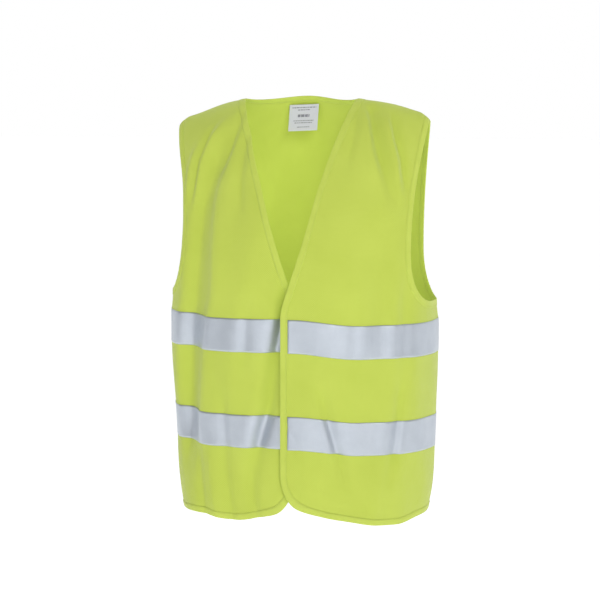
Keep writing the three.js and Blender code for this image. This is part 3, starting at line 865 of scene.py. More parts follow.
class Nodes:
    """A short way to write a material's nodes."""

    def __init__(self, name: str) -> None:
        """Makes an empty material with a shader and an output.

        Args:
            name: the material's name.
        """
        self.material = bpy.data.materials.new(name)
        self.material.use_nodes = True
        self.tree = self.material.node_tree
        self.tree.nodes.clear()
        self.output = self.tree.nodes.new("ShaderNodeOutputMaterial")
        self.shader = self.tree.nodes.new("ShaderNodeBsdfPrincipled")
        self.link(self.shader.outputs[0], self.output.inputs["Surface"])

    def link(self, source: bpy.types.NodeSocket, target: bpy.types.NodeSocket) -> None:
        """Joins two sockets."""
        self.tree.links.new(source, target)

    def _feed(self, node: bpy.types.Node, values: dict) -> None:
        """Sets or links a node's inputs.

        Args:
            node: the node.
            values: a value or a socket for each input's name or number.
        """
        for key, value in values.items():
            if isinstance(value, bpy.types.NodeSocket):
                self.link(value, node.inputs[key])
            else:
                node.inputs[key].default_value = value

    def add(self, kind: str, inputs: dict | None = None, **settings: object) -> bpy.types.Node:
        """Adds a node.

        Args:
            kind: its type, without the usual prefix.
            inputs: a value or a socket for each input's name or number.
            **settings: the node's own settings.

        Returns:
            The node.
        """
        node = self.tree.nodes.new("ShaderNode" + kind)
        for key, value in settings.items():
            setattr(node, key, value)
        self._feed(node, inputs or {})
        return node

    def math(self, operation: str, a: object, b: object = 0.0) -> bpy.types.NodeSocket:
        """Returns the result of a Math node."""
        return self.add("Math", {0: a, 1: b}, operation=operation).outputs[0]

    def mix(self, factor: object, a: Colour, b: Colour) -> bpy.types.NodeSocket:
        """Returns a colour between a and b."""
        return self.add("Mix", {0: factor, 6: a, 7: b}, data_type="RGBA").outputs[2]

    def noise(self, scale: float, detail: float, vector: object, rough: float = 0.5) -> object:
        """Returns a noise value between 0 and 1."""
        inputs = {"Scale": scale, "Detail": detail, "Roughness": rough, "Vector": vector}
        return self.add("TexNoise", inputs).outputs[0]

    def wave(self, along: object, pitch: float) -> bpy.types.NodeSocket:
        """Returns the sine of a length over a pitch, in whole turns."""
        return self.math("SINE", self.math("MULTIPLY", along, 2 * math.pi / pitch))

    def blend(self, a: object, share_a: float, b: object, share_b: float) -> bpy.types.NodeSocket:
        """Returns the sum of two values, each times its share."""
        return self.math(
            "ADD", self.math("MULTIPLY", a, share_a), self.math("MULTIPLY", b, share_b)
        )

    def spread(self, value: object, low: float, high: float, a: float, b: float) -> object:
        """Returns value stretched from low..high to a..b and held there."""
        return self.add("MapRange", {0: value, 1: low, 2: high, 3: a, 4: b}).outputs[0]

    def coords(self) -> bpy.types.NodeSocket:
        """Returns the object's own coordinates, in metres."""
        return self.add("TexCoord").outputs["Object"]

    def cloth_map(self) -> bpy.types.NodeSocket:
        """Returns the piece's map, in metres along the cloth."""
        return self.add("UVMap", uv_map="cloth").outputs[0]

    def split(self, vector: bpy.types.NodeSocket) -> tuple:
        """Returns the parts of a vector."""
        node = self.add("SeparateXYZ", {0: vector})
        return node.outputs[0], node.outputs[1], node.outputs[2]

    def bump(self, height: object, strength: float, distance: float, under: object = None) -> object:
        """Bends the surface's normal by a height field.

        Args:
            height: the heights.
            strength: share of the bend, 0 to 1.
            distance: the height's unit in metres.
            under: a normal that is bent already.

        Returns:
            The normal.
        """
        inputs = {"Height": height, "Strength": strength, "Distance": distance}
        if under is not None:
            inputs["Normal"] = under
        return self.add("Bump", inputs).outputs[0]

    def finish(self, **values: object) -> bpy.types.Material:
        """Returns the material, with the shader's inputs set; a _ in a name stands for a space."""
        self._feed(self.shader, {key.replace("_", " "): v for key, v in values.items()})
        return self.material


@dataclass(frozen=True)
class KnitFinish:
    """Warp-knitted fluorescent polyester: fine upright wales, courses across, and small pores.

    Lengths are in metres, and a scale counts the noise's features in a metre.
    """

    name: str
    colour: Colour
    shade: Colour
    wale: float = 0.0011
    course: float = 0.0013
    eyelet: float = 0.0031
    waver: float = 0.9
    mesh_scale: float = 9.0
    dye_scale: float = 14.0
    crease_scale: float = 55.0
    fuzz_scale: float = 2600.0
    relief: float = 0.00035
    crease_relief: float = 0.004
    # painted glow: a steady emission in the cloth's own colour that brightens the knit under any lamp;
    # it stands in partly for the dye's real fluorescence
    painted_glow: float = 0.08

    def make(self) -> bpy.types.Material:
        """Makes the material.

        The loops are a product of two sine waves, one for each direction, and each wale wavers
        sideways over two courses. A wider product of sines opens a mesh of eyelets, stronger in
        some places than in others. A slow noise varies the colour, as uneven dye does.

        Returns:
            The material.
        """
        n = Nodes(self.name)
        cloth = n.cloth_map()
        u, v, _ = n.split(cloth)
        shift = n.math("MULTIPLY", n.wave(v, 2 * self.course), self.waver)
        across = n.math("MULTIPLY", u, 2 * math.pi / self.wale)
        wales = n.math("SINE", n.math("ADD", across, shift))
        loops = n.math("MULTIPLY", wales, n.wave(v, self.course))
        pores = n.spread(loops, -1.0, -0.35, 1.0, 0.0)
        mesh = n.math("MULTIPLY", n.wave(u, self.eyelet), n.wave(v, self.eyelet))
        strength = n.spread(n.noise(self.mesh_scale, 2.0, cloth), 0.4, 0.6, 0.25, 1.0)
        eyelets = n.math("MULTIPLY", n.spread(mesh, 0.25, 0.9, 0.0, 1.0), strength)
        uneven = n.noise(self.dye_scale, 4.0, cloth, 0.6)
        fuzz = n.noise(self.fuzz_scale, 2.0, cloth)
        tone = n.blend(n.spread(uneven, 0.3, 0.7, 0.0, 0.35), 1.0, pores, 0.3)
        tone = n.math("ADD", tone, n.spread(fuzz, 0.35, 0.65, -0.06, 0.10))
        tone = n.blend(tone, 1.0, eyelets, 0.75)
        ribs = n.blend(n.blend(wales, 0.5, loops, 0.6), 1.0, eyelets, -0.8)
        creases = n.noise(self.crease_scale, 3.0, cloth, 0.55)
        soft = n.bump(creases, 0.25, self.crease_relief)
        return n.finish(
            Base_Color=n.mix(tone, self.colour, self.shade),
            Roughness=n.spread(uneven, 0.2, 0.8, 0.78, 0.92),
            Normal=n.bump(n.blend(ribs, 1.0, fuzz, 0.5), 0.45, self.relief, soft),
            Sheen_Weight=0.25,
            Sheen_Roughness=0.45,
            Specular_IOR_Level=0.25,
            # painted glow: this emission adds light of the cloth's colour whatever the lamps do
            Emission_Color=self.colour,
            Emission_Strength=self.painted_glow,
        )


@dataclass(frozen=True)
class BindingFinish:
    """Woven binding tape: a fine upright rib with the same dye as the cloth, painted a little brighter
    as a painted highlight of its folded edge.
    """

    name: str
    colour: Colour
    shade: Colour
    rib: float = 0.0009
    weft_share: float = 0.7
    dye_scale: float = 40.0
    pucker_scale: float = 230.0
    relief: float = 0.0002
    pucker_relief: float = 0.0012
    # painted glow: a steady emission in the binding's colour that brightens it under any lamp, standing
    # in partly for the dye's real fluorescence
    painted_glow: float = 0.08

    def make(self) -> bpy.types.Material:
        """Makes the material: sine ribs across the tape, crossed by finer weft lines.

        Returns:
            The material.
        """
        n = Nodes(self.name)
        cloth = n.cloth_map()
        u, v, _ = n.split(cloth)
        weave = n.blend(n.wave(u, self.rib), 0.6, n.wave(v, self.rib * self.weft_share), 0.4)
        uneven = n.noise(self.dye_scale, 3.0, cloth)
        pucker = n.bump(n.noise(self.pucker_scale, 2.0, cloth), 0.35, self.pucker_relief)
        tone = n.math("ADD", n.spread(uneven, 0.3, 0.7, 0.0, 0.4), n.spread(weave, -1, 0, 0.2, 0.0))
        return n.finish(
            Base_Color=n.mix(tone, self.colour, self.shade),
            Roughness=n.spread(uneven, 0.2, 0.8, 0.7, 0.85),
            Normal=n.bump(weave, 0.4, self.relief, pucker),
            Sheen_Weight=0.2,
            Sheen_Roughness=0.4,
            Specular_IOR_Level=0.3,
            # painted glow, as on the knit
            Emission_Color=self.colour,
            Emission_Strength=self.painted_glow,
        )


@dataclass(frozen=True)
class ReflectiveFinish:
    """Glass bead reflective cloth: silver grey beads on a woven ground, with faint press lines."""

    name: str
    colour: Colour
    shade: Colour
    bead_scale: float = 1500.0
    weave: float = 0.0007
    crease_scale: float = 60.0
    crease_stretch: float = 0.12
    rub_scale: float = 22.0
    relief: float = 0.0003
    crease_relief: float = 0.0022
    metallic: float = 0.8

    def make(self) -> bpy.types.Material:
        """Makes the material: fine bead cells, a ghost of the weave, and soft upright creases.

        Returns:
            The material.
        """
        n = Nodes(self.name)
        cloth = n.cloth_map()
        u, v, _ = n.split(cloth)
        beads = {"Scale": self.bead_scale, "Vector": cloth}
        cells = n.add("TexVoronoi", beads).outputs["Distance"]
        weave = n.math("MULTIPLY", n.wave(u, self.weave), n.wave(v, self.weave))
        upright = {"Vector": cloth, "Scale": (1.0, self.crease_stretch, 1.0)}
        creases = n.noise(self.crease_scale, 3.0, n.add("Mapping", upright).outputs[0], 0.5)
        rubbed = n.noise(self.rub_scale, 5.0, cloth, 0.65)
        grey = n.blend(n.spread(rubbed, 0.3, 0.75, 0.0, 0.45), 1.0, cells, 0.25)
        soft = n.bump(creases, 0.35, self.crease_relief)
        return n.finish(
            Base_Color=n.mix(grey, self.colour, self.shade),
            Metallic=self.metallic,
            Roughness=n.spread(rubbed, 0.2, 0.8, 0.44, 0.54),
            Normal=n.bump(n.blend(cells, 1.0, weave, 0.15), 0.25, self.relief, soft),
            Specular_IOR_Level=0.5,
        )


@dataclass(frozen=True)
class TrimFinish:
    """A small trim's finish: thread, closure pile, satin or print, told apart by their grain."""

    name: str
    colour: Colour
    shade: Colour
    grain_scale: float
    relief: float
    roughness: float
    sheen: float = 0.0
    roughness_spread: float = 0.06

    def make(self) -> bpy.types.Material:
        """Makes the material: noise at the grain's scale drives colour, roughness and bump.

        Returns:
            The material.
        """
        n = Nodes(self.name)
        grain = n.noise(self.grain_scale, 3.0, n.coords(), 0.6)
        low, high = self.roughness - self.roughness_spread, self.roughness + self.roughness_spread
        return n.finish(
            Base_Color=n.mix(n.spread(grain, 0.3, 0.7, 0.0, 1.0), self.colour, self.shade),
            Roughness=n.spread(grain, 0.2, 0.8, low, high),
            Normal=n.bump(grain, 0.5, self.relief),
            Sheen_Weight=self.sheen,
        )


# ---- Sewn pieces ----------------------------------------------------------------------------------


@dataclass(frozen=True)
class Stitch:
    """Sizes of one lockstitch: a thread with a few sides whose ends dive into the cloth."""

    pitch: float = 0.0032
    length: float = 0.0026
    radius: float = 0.00028
    flatness: float = 1.1
    dive: float = 0.8
    sides: int = 6
    stations: tuple[float, ...] = (-1.0, -0.8, 0.0, 0.8, 1.0)
    caps: tuple[tuple[int, ...], ...] = ((0, 1, 2, 5), (5, 2, 3, 4))


@dataclass
class Workroom:
    """What every sub-assembly shares: the form, the cut, the finishes and how pieces are made."""

    form: BodyForm
    cut: Cut
    finishes: dict[Stuff, bpy.types.Material]
    stitch: Stitch = Stitch()
    cloth: float = 0.0005
    map_share: float = 0.9
    tape_gap: float = 0.0003
    tape_thick: float = 0.0004
    fold_low: float = 0.0003
    fold_high: float = 0.0010
    leg_shares: tuple[float, ...] = (1.0, 0.82, 0.64, 0.40, 0.18, 0.02)
    leg_dome: tuple[float, ...] = (0.55, 0.78, 1.0, 1.12, 1.05, 0.85)
    nose_points: int = 5
    seam_turn: float = 0.030
    seam_stretch: float = 1.06
    line_step: float = 0.003
    sewn_share: float = 0.80
    thread_over_tape: float = 0.0010
    thread_over_band: float = 0.00085
    band_sewn_in: float = 0.0022
    band_rows: int = 19
    blend_depth: float = 0.118

    def dress(self, obj: bpy.types.Object, side: Side, stuff: Stuff) -> None:
        """Gives a piece its finish and slot, and puts a back piece on the back's body.

        A front's piece only has its placement baked into its points and is put on no body.

        Args:
            obj: the piece.
            side: the panel that it belongs to.
            stuff: what it is made of.
        """
        obj.data.materials.append(self.finishes[stuff])
        if side is Side.BACK:
            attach(obj, "back")
        else:
            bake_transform(obj)
        LOG.info("%s: %d faces", obj.name, len(obj.data.polygons))

    def layer(
        self, side: Side, a: Array, w: Array, low: float, high: float, name: str
    ) -> bpy.types.Object:
        """Makes a flat layer of cloth between two heights over the folded cloth's middle.

        Args:
            side: the panel.
            a: (rows, columns) angles.
            w: (rows, columns) cloth lengths.
            low: height of its inner face.
            high: height of its outer face.
            name: the piece's name.

        Returns:
            The layer.
        """
        middle, normal = self.form.cloth(side, a, w), self.form.normal(side, a, w)
        flat = np.stack([a * self.form.half_width * self.map_share, w], axis=-1)
        mesh = MeshData()
        mesh.add(*slab(middle + normal * high, middle + normal * low, flat))
        return mesh.build(name)

    def panel(self, side: Side, a: Array, w: Array) -> bpy.types.Object:
        """Makes and dresses a panel that stands for its CAD node.

        Args:
            side: the panel.
            a: (rows, columns) angles.
            w: (rows, columns) cloth lengths.

        Returns:
            The panel.
        """
        piece = self.layer(side, a, w, -self.cloth / 2, self.cloth / 2, f"{side.value}_cloth")
        self.dress(piece, side, Stuff.KNIT)
        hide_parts(f"{side.value}_panel")
        return piece

    def band(self, side: Side, a: Array, w: Array, name: str, node: str) -> bpy.types.Object:
        """Makes and dresses a reflective band that stands for a CAD node.

        Args:
            side: the panel.
            a: (rows, columns) angles.
            w: (rows, columns) cloth lengths.
            name: the piece's name.
            node: the CAD node.

        Returns:
            The band.
        """
        low = self.cloth / 2 + self.tape_gap
        piece = self.layer(side, a, w, low, low + self.tape_thick, name)
        self.dress(piece, side, Stuff.BAND)
        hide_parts(node)
        return piece

    def _profile(self) -> tuple[Array, Array]:
        """Draws the binding's profile: a flat U whose legs are slightly domed.

        Returns:
            How far each point lies inside the cloth's edge, and its height over the cloth's middle.
        """
        leg = np.array(self.leg_shares) * self.cut.binding
        dome = np.array(self.leg_dome) * self.fold_high
        turn = np.linspace(math.pi / 2, -math.pi / 2, self.nose_points + 2)[1:-1]
        nose = -np.cos(turn) * self.fold_high
        inner = np.full(leg.size, self.fold_low)
        within = np.concatenate([leg, nose, leg[::-1], leg, [-self.fold_low] * 2, leg[::-1]])
        over = [dome, np.sin(turn) * self.fold_high, -dome[::-1]]
        over += [-inner, [-self.fold_low, self.fold_low], inner]
        return within, np.concatenate(over)

    def _insets(self, side: Side, line: Array, towards: Array, ends: tuple[float, float]) -> Array:
        """Finds the steps into the cloth, turned along the shoulder seam near a marked end.

        Args:
            side: the panel.
            line: (n, 2) places along the edge.
            towards: a place on the cloth's side of the edge.
            ends: as in binding.

        Returns:
            The (n, 2) steps in (angle, length) that move 1 m inwards.
        """
        inset = self.form.inward(side, line, towards)
        length = along(self.form.base(side, line[:, 0], line[:, 1]))
        for end, sign in enumerate(ends):
            if not sign:
                continue
            distance = length if end == 0 else length[-1] - length
            near = 1.0 - smooth(distance / self.seam_turn)[:, None]
            place = line[0 if end == 0 else -1]
            nudge = 1e-3
            beside = self.form.base(side, np.array([place[0] + nudge]), place[1:])
            step = np.linalg.norm(beside - self.form.base(side, place[:1], place[1:])) / nudge
            seam = np.array([[sign / max(step, TINY) * self.seam_stretch, 0.0]])
            inset = inset * (1.0 - near) + seam * near
        return inset

    def binding(
        self, side: Side, line: Array, towards: Array, node: str, ends: tuple[float, float]
    ) -> bpy.types.Object:
        """Makes and dresses a binding folded round an edge, standing for a CAD node.

        The profile is carried along the edge, square to it in the cloth and out from the cloth.

        Args:
            side: the panel.
            line: (n, 2) places along the edge.
            towards: a place on the cloth's side of the edge.
            node: the CAD node.
            ends: for each end, +1 or -1 where it lies along a shoulder seam, whose binding runs on
                with the seam towards larger or smaller angles, or 0.

        Returns:
            The binding.
        """
        inset = self._insets(side, line, towards, ends)
        within, over = self._profile()
        inside = np.maximum(within, 0.0)[None, :]
        a = line[:, :1] + inset[:, :1] * inside
        w = np.minimum(line[:, 1:] + inset[:, 1:] * inside, self.form.cloth_top)
        places = self.form.place(side, a, w, over[None, :])
        edge = self.form.place(side, line[:, 0], line[:, 1], 0.0)
        beside = line + inset * 0.002
        out = unit(edge - self.form.place(side, beside[:, 0], beside[:, 1], 0.0))[:, None, :]
        places = places + out * np.maximum(-within, 0.0)[None, :, None]
        length = along(self.form.base(side, line[:, 0], line[:, 1]))
        flat = np.stack(np.broadcast_arrays(length[:, None], within[None, :]), axis=-1)
        mesh = MeshData()
        mesh.add(*tube(places, flat))
        piece = mesh.build(f"{node}_tape")
        self.dress(piece, side, Stuff.BINDING)
        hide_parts(node)
        return piece

    def _thread(self, path: Array, up: Array) -> tuple[Array, Array]:
        """Makes one row of stitches.

        Each stitch is a thread whose radius is r sqrt(1 - t^4) and which sinks by t^4, with t from
        -1 to 1 along it.

        Args:
            path: (count, 3) middles of the stitches.
            up: (count, 3) outward directions.

        Returns:
            The points and the quads.
        """
        stitch = self.stitch
        t = np.array(stitch.stations)
        turn = np.arange(stitch.sides) * 2 * math.pi / stitch.sides
        ahead = unit(np.gradient(path, axis=0))
        across = unit(np.cross(up, ahead))
        up = np.cross(ahead, across)
        radius = stitch.radius * np.sqrt(np.maximum(1.0 - t**4, 0.02))
        ring = (
            across[:, None, None] * (np.cos(turn) * stitch.flatness)[None, None, :, None]
            + up[:, None, None] * np.sin(turn)[None, None, :, None]
        ) * radius[None, :, None, None]
        spine = ahead[:, None] * (t * stitch.length / 2)[None, :, None]
        spine = spine - up[:, None] * (t**4 * stitch.radius * stitch.dive)[None, :, None]
        points = path[:, None, None] + spine[:, :, None] + ring
        size = t.size * stitch.sides
        walls = grid_faces(t.size, stitch.sides, wrap=True)
        caps = np.array(stitch.caps)
        faces = np.concatenate([walls, caps[:, ::-1], caps + size - stitch.sides])
        faces = outward_faces(points[0].reshape(-1, 3), faces)
        every = faces[None] + (np.arange(path.shape[0]) * size)[:, None, None]
        return points.reshape(-1, 3), every.reshape(-1, 4)

    def stitches(
        self, side: Side, lines: Sequence[Array], name: str, over: float, stuff: Stuff
    ) -> bpy.types.Object:
        """Sews rows of lockstitches along lines of places and dresses them.

        Args:
            side: the panel.
            lines: each (n, 2) places to sew along.
            name: the piece's name.
            over: height of the thread's middle over the cloth's.
            stuff: the thread.

        Returns:
            The rows, as one piece.
        """
        mesh = MeshData()
        for line in lines:
            a, w = line[:, 0], line[:, 1]
            path = self.form.place(side, a, w, over)
            run = along(path)
            count = max(2, int(run[-1] / self.stitch.pitch))
            at = (np.arange(count) + 0.5) * run[-1] / count
            middles = np.stack([np.interp(at, run, path[:, i]) for i in range(3)], axis=1)
            up = self.form.normal(side, np.interp(at, run, a), np.interp(at, run, w))
            points, faces = self._thread(middles, up)
            mesh.add(points, faces, np.zeros((points.shape[0], 2)))
        piece = mesh.build(name)
        self.dress(piece, side, stuff)
        return piece

    def bound_edge(
        self, side: Side, line: Array, towards: Array, node: str, ends: tuple[float, float]
    ) -> list[bpy.types.Object]:
        """Makes a binding and the row of stitches that holds it.

        Args:
            side: the panel.
            line: (n, 2) places along the edge.
            towards: a place on the cloth's side of the edge.
            node: the CAD node that the binding stands for.
            ends: as in binding.

        Returns:
            The binding and its stitches.
        """
        piece = self.binding(side, line, towards, node, ends)
        inward = self.form.inward(side, line, towards)
        sewn = line + inward * (self.cut.binding * self.sewn_share)
        sewn = sewn[sewn[:, 1] < self.form.cloth_top - 0.002]
        name = f"{node}_stitching"
        return [piece, self.stitches(side, [sewn], name, self.thread_over_tape, Stuff.THREAD)]

    def resampled(self, side: Side, line: Array) -> Array:
        """Spreads places evenly along a line.

        Args:
            side: the panel.
            line: (n, 2) places.

        Returns:
            Places along the same line, about line_step apart on the cloth.
        """
        run = along(self.form.base(side, line[:, 0], line[:, 1]))
        at = np.linspace(0.0, run[-1], max(3, int(run[-1] / self.line_step)))
        return np.stack([np.interp(at, run, line[:, i]) for i in range(2)], axis=1)

    def armhole_line(self, side: Side, sign: float) -> Array:
        """Follows one armhole's edge from the side seam to the shoulder.

        Args:
            side: the panel.
            sign: +1 on the wearer's left, -1 on the right.

        Returns:
            The (n, 2) places.
        """
        rows = self.cut.rows(side is not Side.BACK)
        rows = rows[rows >= self.form.underarm]
        line = np.stack([self.cut.outer_edge(rows, side is Side.BACK), rows], axis=1)
        line[0, 0] = math.pi / 2
        return self.resampled(side, line * np.array([sign, 1.0]))

    def declare_cut(
        self, panel: bpy.types.Object, rests_on: list[str], trims: list[bpy.types.Object]
    ) -> None:
        """Reads a panel's face areas and its map, but declares nothing with them; half its surface is
        the cloth's area.

        Args:
            panel: the panel.
            rests_on: pieces that it lies on; not used.
            trims: pieces sewn to it; not used.
        """
        areas = np.empty(len(panel.data.polygons))
        panel.data.polygons.foreach_get("area", areas)
        flat = np.empty(len(panel.data.loops) * 2)
        panel.data.uv_layers["cloth"].data.foreach_get("uv", flat)


@dataclass
class FrontHalf:
    """One front of the vest: panel, bindings, two bands, their stitching and two closure patches."""

    room: Workroom
    side: Side
    patch: Stuff
    columns: int = 78
    hem_points: int = 80
    band_columns: int = 110
    band_start: float = 0.0105
    band_sewn_start: float = 0.012
    band_sewn_end: float = 0.004
    band_points: int = 90
    edge_aim: tuple[float, float] = (0.7, 0.2)
    armhole_aim: tuple[float, float] = (0.6, 0.5)
    patch_middle: float = 0.001
    patch_half_width: float = 0.010
    patch_half_height: float = 0.025
    patch_near: float = 0.0013
    patch_far: float = 0.0019
    patch_crown: float = 0.0004
    patch_squareness: int = 12
    patch_edge: float = 8.0

    @property
    def sign(self) -> float:
        """+1 on the wearer's left, -1 on the right."""
        return 1.0 if self.side is Side.LEFT else -1.0

    def _turned(self, line: Array) -> Array:
        """Returns places of the +X side moved to this front's side."""
        return line * np.array([self.sign, 1.0])

    def _edge_line(self) -> Array:
        """Follows the bound edge from the side seam along hem, corner, front edge and V neck.

        Returns:
            The (n, 2) places.
        """
        rows = self.room.cut.rows(True)
        edge = np.stack([self.room.cut.front_edge(self.side, rows), rows], axis=1)
        hem = np.linspace(math.pi / 2, edge[0, 0], self.hem_points)[:-1]
        line = np.concatenate([np.stack([hem, np.zeros_like(hem)], axis=1), edge])
        return self.room.resampled(self.side, self._turned(line))

    def _band_line(self, w: float) -> Array:
        """Follows a band's row of stitches from beside the edge binding to the side seam.

        Args:
            w: cloth length of the row.

        Returns:
            The (n, 2) places.
        """
        start = self.room.cut.front_edge(self.side, np.array([w]))[0]
        start = start + self.band_sewn_start / self.room.form.half_width
        a = np.linspace(start, math.pi / 2 - self.band_sewn_end, self.band_points)
        return self._turned(np.stack([a, np.full_like(a, w)], axis=1))

    def _build_panel(self) -> bpy.types.Object:
        """Builds the panel.

        Returns:
            The panel.
        """
        cut = self.room.cut
        rows = cut.rows(True)
        low, high = cut.front_edge(self.side, rows), cut.outer_edge(rows, False)
        a = cut.columns(float(low[rows > cut.corner_height].min()), low, high, self.columns)
        w = np.broadcast_to(rows[:, None], a.shape)
        return self.room.panel(self.side, a * self.sign, w)

    def _build_bindings(self) -> list[bpy.types.Object]:
        """Builds the edge and armhole bindings with their stitching.

        Returns:
            The pieces.
        """
        room, name = self.room, self.side.value
        mid, chest = self._turned(np.array(self.edge_aim)), self._turned(np.array(self.armhole_aim))
        edge, armhole = self._edge_line(), room.armhole_line(self.side, self.sign)
        made = room.bound_edge(self.side, edge, mid, f"{name}_edge_binding", (0, self.sign))
        node = f"{name}_armhole_binding"
        return made + room.bound_edge(self.side, armhole, chest, node, (0, -self.sign))

    def _build_bands(self) -> list[bpy.types.Object]:
        """Builds the two reflective bands and their edge stitching.

        Returns:
            The pieces.
        """
        room, form, name = self.room, self.room.form, self.side.value
        made = []
        for level, (low, high) in zip(("lower", "upper"), form.bands):
            rows = np.linspace(low, high, room.band_rows)
            start = room.cut.front_edge(self.side, rows) + self.band_start / form.half_width
            share = np.linspace(0, 1, self.band_columns)[None, :]
            a = (start[:, None] + (math.pi / 2 - start)[:, None] * share) * self.sign
            w = np.broadcast_to(rows[:, None], a.shape)
            piece = f"{name}_{level}_band"
            made.append(room.band(self.side, a, w, piece, f"{name}_{level}_tape"))
            lines = [self._band_line(v) for v in (low + room.band_sewn_in, high - room.band_sewn_in)]
            sewn, over = f"{piece}_stitching", room.thread_over_band
            made.append(room.stitches(self.side, lines, sewn, over, Stuff.BAND_THREAD))
        return made

    def _build_patches(self) -> list[bpy.types.Object]:
        """Builds the hook or loop patches between the overlapping fronts.

        A patch's pile is crowned by the square root of the distance from its nearest edge.

        Returns:
            The pieces.
        """
        room, form = self.room, self.room.form
        kind = self.patch.value[0]
        facing = -1.0 if self.side is Side.LEFT else 1.0
        made = []
        for level, (low, high) in zip(("lower", "upper"), form.bands):
            t, up = np.linspace(-1, 1, 25)[None, :], np.linspace(-1, 1, 45)[:, None]
            x = self.patch_middle + self.patch_half_width * t
            a = form.angle(x, np.array(low))
            a, w = np.broadcast_arrays(a, (low + high) / 2 + self.patch_half_height * up)
            edge = np.minimum(1 - np.abs(t) ** self.patch_squareness, 1 - np.abs(up))
            crown = self.patch_crown * np.sqrt(np.clip(edge * self.patch_edge, 0, 1))
            near = form.place(self.side, a, w, facing * self.patch_near)
            far = form.place(self.side, a, w, facing * (self.patch_far + crown))
            mesh = MeshData()
            mesh.add(*slab(far, near, np.stack(np.broadcast_arrays(x, w), axis=-1)))
            piece = mesh.build(f"{level}_{kind}_pad")
            room.dress(piece, self.side, self.patch)
            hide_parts(f"{level}_{kind}_patch")
            made.append(piece)
        return made

    def build(self) -> None:
        panel = self._build_panel()
        trims = self._build_bindings() + self._build_bands() + self._build_patches()
        self.room.declare_cut(panel, ["back_cloth"], trims)


@dataclass
class BackHalf:
    """The back of the vest: panel, neck, hem and armhole bindings, and two reflective bands."""

    room: Workroom
    columns: int = 78
    neck_points: int = 160
    hem_points: int = 220
    aim: tuple[float, float] = (0.0, 0.35)

    def _neck_line(self) -> Array:
        """Follows the back neck edge from the wearer's left seam to the right.

        Returns:
            The (n, 2) places.
        """
        cut, form = self.room.cut, self.room.form
        x = form.neck_half_width * np.cos(np.linspace(0.0, math.pi, self.neck_points))
        w = cut.back_neck(x)
        return self.room.resampled(Side.BACK, np.stack([form.angle(x, w), w], axis=1))

    def _level_line(self, w: float, inner: bool) -> Array:
        """Follows a level line from one side seam to the other.

        Args:
            w: its cloth length.
            inner: whether it stops short of the seams.

        Returns:
            The (n, 2) places.
        """
        a = np.linspace(-math.pi / 2, math.pi / 2, self.hem_points)
        a = a[1:-1] if inner else a[::-1]
        return np.stack([a, np.full_like(a, w)], axis=1)

    def _build_panel(self) -> bpy.types.Object:
        """Builds the back panel; the rows above the bands reach only up to the neck edge.

        A row's share of the way from the bands to the shoulder is kept in every column, and the
        column's own top is the neck edge or the shoulder seam.

        Returns:
            The panel.
        """
        cut, form = self.room.cut, self.room.form
        rows = cut.rows(False)
        high = cut.outer_edge(rows, True)
        half = cut.columns(0.0, np.zeros_like(high), high, self.columns)
        a = np.concatenate([-half[:, :0:-1], half], axis=1)
        top_x = form.half(np.array(form.underarm)) * np.sin(a[-1])
        top = np.where(np.abs(top_x) < form.neck_half_width, cut.back_neck(top_x), form.cloth_top)
        above = smooth((rows - form.bands[1][1]) / (form.cloth_top - form.bands[1][1]))[:, None]
        w = rows[:, None] - above * (form.cloth_top - top)[None, :]
        return self.room.panel(Side.BACK, a, w)

    def _build_bindings(self) -> list[bpy.types.Object]:
        """Builds the neck, hem and two armhole bindings with their stitching.

        Returns:
            The pieces.
        """
        room = self.room
        jobs = (
            (self._neck_line(), "back_neck_binding", (1.0, -1.0)),
            (self._level_line(0.0, False), "back_hem_binding", (0, 0)),
            (room.armhole_line(Side.BACK, 1.0), "left_back_armhole_binding", (0, -1.0)),
            (room.armhole_line(Side.BACK, -1.0), "right_back_armhole_binding", (0, 1.0)),
        )
        aim = np.array(self.aim)
        made = [room.bound_edge(Side.BACK, line, aim, node, ends) for line, node, ends in jobs]
        return [piece for pair in made for piece in pair]

    def _build_bands(self) -> list[bpy.types.Object]:
        """Builds the back's two reflective bands and their edge stitching.

        Returns:
            The pieces.
        """
        room = self.room
        made = []
        for level, (low, high) in zip(("lower", "upper"), room.form.bands):
            turn = np.linspace(-math.pi / 2, math.pi / 2, self.hem_points)[None, :]
            a, w = np.broadcast_arrays(turn, np.linspace(low, high, room.band_rows)[:, None])
            piece = f"back_{level}_band"
            made.append(room.band(Side.BACK, a, w, piece, f"back_{level}_tape"))
            levels = (low + room.band_sewn_in, high - room.band_sewn_in)
            lines = [self._level_line(v, True) for v in levels]
            sewn, over = f"{piece}_stitching", room.thread_over_band
            made.append(room.stitches(Side.BACK, lines, sewn, over, Stuff.BAND_THREAD))
        return made

    def build(self) -> None:
        panel = self._build_panel()
        trims = self._build_bindings() + self._build_bands()
        self.room.declare_cut(panel, ["left_front_cloth", "right_front_cloth"], trims)


@dataclass(frozen=True)
class BarRow:
    """A row of plain bars on the label, in shares of its height and width."""

    top: float
    tall: float
    start: float
    end: float
    usual: float = 0.07


